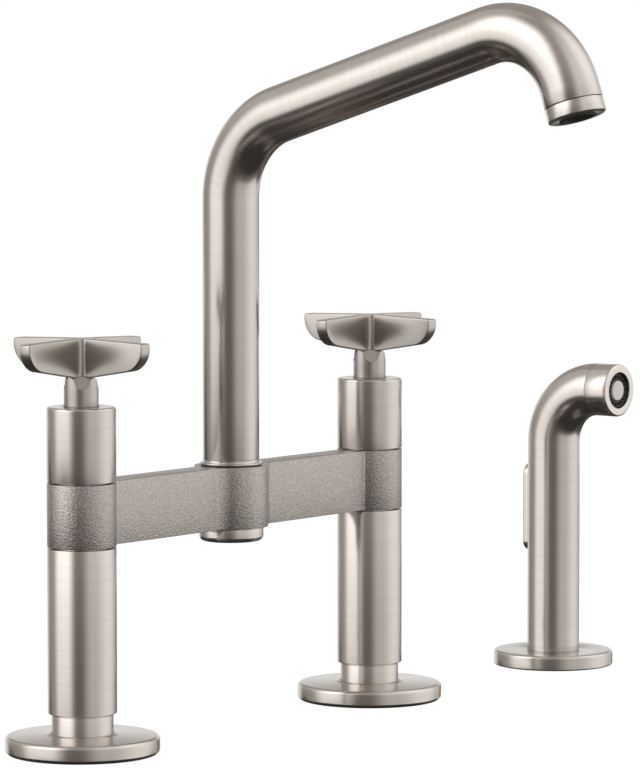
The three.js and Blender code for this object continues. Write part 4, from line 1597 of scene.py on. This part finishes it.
@dataclass
class Studio:
    """Camera, floor and light. Bearings are in degrees, from the camera's side to its right.

    Attributes:
        eye: The camera's place.
        yaw: Its heading, from +Y towards +X, in radians.
        pitch: How far it looks down, in radians.
        lens: Its focal length, for a 36 mm long side.
        floor_half: Half the floor's side.
        floor_glow: The floor's own light, which the camera sees as white.
        floor_share: How much of what the camera sees of the floor that light is.
        floor_dark: The floor's tone in steep reflections near the faucet.
        floor_steep: How steep those are, as the sine of their angle.
        floor_far: Depth over which reflections of the floor turn white.
        dim_tint: The colour of the dimmest light.
        key_level: The narrow softbox on the left.
        key_edges: Its left, right, upper and lower edge.
        key_rise: How it brightens upwards.
        fill_level: The near part of the broad softbox on the right.
        fill_start: Where that part starts.
        fill_edges: The softbox's right, upper and lower edge.
        far_level: What its far part adds.
        far_start: Where the far part starts.
        side_level: What the wall on the far left adds.
        side_edges: That wall's left and right edge.
        room_level: The room on the camera's side, low down.
        ceiling_level: What the room gains towards the ceiling.
        ceiling_start: Where it gains that.
        ground_share: How much of what stands above it the room's ground gives back.
        ground_level: What the ground adds to that.
        ground_edge: Where the ground starts, before the camera.
        shore_back: How that rises behind the faucet, in degrees.
        shore_left: How it rises on the left, in degrees.
        backdrop_edges: The backdrop's sides, top and foot, as mirrors show it.
        flag_edges: Left, right and upper edge of a dark flag that stands before it.
    """

    eye: tuple[float, float, float] = (-1.5844, -1.2945, 0.3168)
    yaw: float = math.radians(51.863)
    pitch: float = math.radians(4.567)
    lens: float = 215.42
    floor_half: float = 2.0
    floor_glow: float = 1.085
    floor_share: float = 0.88
    floor_dark: float = 0.05
    floor_steep: Span = (0.52, 0.6)
    floor_far: Span = (0.8, 1.3)
    dim_tint: tuple[float, float, float] = (1.0, 0.92, 0.855)
    key_level: float = 1.42
    key_edges: tuple[Span, ...] = ((-108, -80), (-18, -46), (72, 40), (-34, -10))
    key_rise: Span = (-10, 26, 0.76, 1.22)
    fill_level: float = 0.54
    fill_start: Span = (-2, 34)
    fill_edges: tuple[Span, ...] = ((165, 108), (95, 45), (-12, 15, 0.94))
    far_level: float = 0.44
    far_start: Span = (45, 95)
    side_level: float = 0.22
    side_edges: tuple[Span, ...] = ((-150, -140), (-94, -106))
    room_level: float = 0.18
    ceiling_level: float = 0.24
    ceiling_start: Span = (-10, 40)
    ground_share: float = 0.08
    ground_level: float = 0.03
    ground_edge: Span = (-24, -31)
    shore_back: Span = (104, 132, 0, 13)
    shore_left: Span = (-40, -60, 0, 5)
    backdrop_edges: tuple[Span, ...] = ((136, 150), (22, 7), (-19, -11))
    flag_edges: tuple[Span, ...] = ((146, 152), (172, 164), (4, -2))

    def build(self) -> None:
        """Builds the camera, the floor and the light."""
        self.build_camera()
        self.build_world()
        self.build_floor()
        bpy.context.scene.view_settings.view_transform = "Standard"

    def build_camera(self) -> None:
        """Sets the camera at the photograph's viewpoint."""
        data = bpy.data.cameras.new("camera")
        data.lens = self.lens
        data.sensor_width = 36.0
        data.sensor_fit = "AUTO"
        data.clip_start, data.clip_end = 0.05, 50.0
        camera = bpy.data.objects.new("camera", data)
        camera.location = self.eye
        camera.rotation_euler = (math.pi / 2 - self.pitch, 0, -self.yaw)
        bpy.context.scene.collection.objects.link(camera)
        bpy.context.scene.camera = camera

    def light(self, bearing: Number, height: Number) -> Number:
        """The softboxes in their dim room, all upright.

        Args:
            bearing: Where one looks, in degrees.
            height: How far above the horizon, in degrees.

        Returns:
            How bright it is there.
        """
        left, right, top, foot = self.key_edges
        key = bearing.ramp(*left) * bearing.ramp(*right) * height.ramp(*top)
        key = key * height.ramp(*foot) * height.ramp(*self.key_rise)
        left, right = self.side_edges
        side = bearing.ramp(*left) * bearing.ramp(*right)
        fill = bearing.ramp(*self.fill_start) * self.fill_level
        fill = fill + bearing.ramp(*self.far_start) * self.far_level
        right, top, foot = self.fill_edges
        fill = fill * bearing.ramp(*right) * height.ramp(*top) * height.ramp(*foot)
        room = self.room_level + height.ramp(*self.ceiling_start) * self.ceiling_level
        light = room + key * self.key_level + fill + side * self.side_level
        shore = bearing.math("ABSOLUTE").ramp(*self.shore_back) + bearing.ramp(*self.shore_left)
        ground = (height - shore).ramp(*self.ground_edge)
        return light * (1 - ground * (1 - self.ground_share)) + ground * self.ground_level

    def build_world(self) -> None:
        """Builds the light and a white backdrop, which what mirrors or refracts it shows too."""
        world = bpy.data.worlds.new("studio")
        bpy.context.scene.world = world
        graph = Graph(world)
        x, y, z = graph.axes(graph.node("ShaderNodeTexCoord").outputs["Generated"])
        ahead = x * -math.sin(self.yaw) + y * -math.cos(self.yaw)
        aside = x * math.cos(self.yaw) + y * -math.sin(self.yaw)
        bearing = aside.math("ARCTAN2", ahead) * math.degrees(1)
        height = z.math("ARCSINE") * math.degrees(1)
        left, right, top = self.flag_edges
        flag = bearing.ramp(*left) * bearing.ramp(*right) * height.ramp(*top)
        sides, top, foot = self.backdrop_edges
        backdrop = bearing.math("ABSOLUTE").ramp(*sides) * height.ramp(*top)
        backdrop = backdrop * height.ramp(*foot) * (1 - flag)
        camera, mirrored = graph.sight()
        seen = camera + mirrored * backdrop
        strength = seen + (1 - seen) * self.light(bearing, height)
        tint = graph.blend(strength.ramp(0.0, 1.0), self.dim_tint, (1.0, 1.0, 1.0))
        background = graph.node("ShaderNodeBackground", None, {"Color": tint, "Strength": strength})
        graph.node("ShaderNodeOutputWorld", None, {"Surface": background.outputs[0]})

    def build_floor(self) -> None:
        """Lays the floor, white to the camera and far off, and dark in what stands on it."""
        bm = bmesh.new()
        bmesh.ops.create_grid(bm, x_segments=1, y_segments=1, size=self.floor_half)
        floor = Solid(bm).as_object("floor")
        material = bpy.data.materials.new("floor")
        graph = Graph(material)
        matt = graph.node("ShaderNodeBsdfDiffuse", None, {"Color": (0.8, 0.8, 0.8, 1)})
        glow = graph.glow((1, 1, 1), self.floor_glow)
        dark = graph.glow(self.dim_tint, self.floor_dark)
        clear = graph.node("ShaderNodeBsdfTransparent")
        incoming = graph.node("ShaderNodeNewGeometry").outputs["Incoming"]
        steep = graph.axes(incoming)[2].ramp(*self.floor_steep)
        x, y, _ = graph.axes(graph.node("ShaderNodeTexCoord").outputs["Object"])
        far = (x * math.sin(self.yaw) + y * math.cos(self.yaw)).ramp(*self.floor_far)
        camera, mirrored = graph.sight()
        beneath = mirrored * (1 - far)
        lit = graph.mix((camera + mirrored * far) * self.floor_share, matt, glow)
        hidden = graph.mix(beneath * steep, lit, dark)
        surface = graph.mix(beneath * (1 - steep), hidden, clear)
        graph.node("ShaderNodeOutputMaterial", None, {"Surface": surface.outputs[0]})
        floor.data.materials.append(material)


def main() -> None:
    """Builds the whole scene in order."""
    logging.basicConfig(level=logging.INFO, format="%(name)s: %(message)s")
    Studio().build()
    for side in ("hot", "cold"):
        ValvePillar(side).build()
    Bridge().build()
    Spout().build()
    SideSpray().build()


if __name__ == "__main__":
    main()
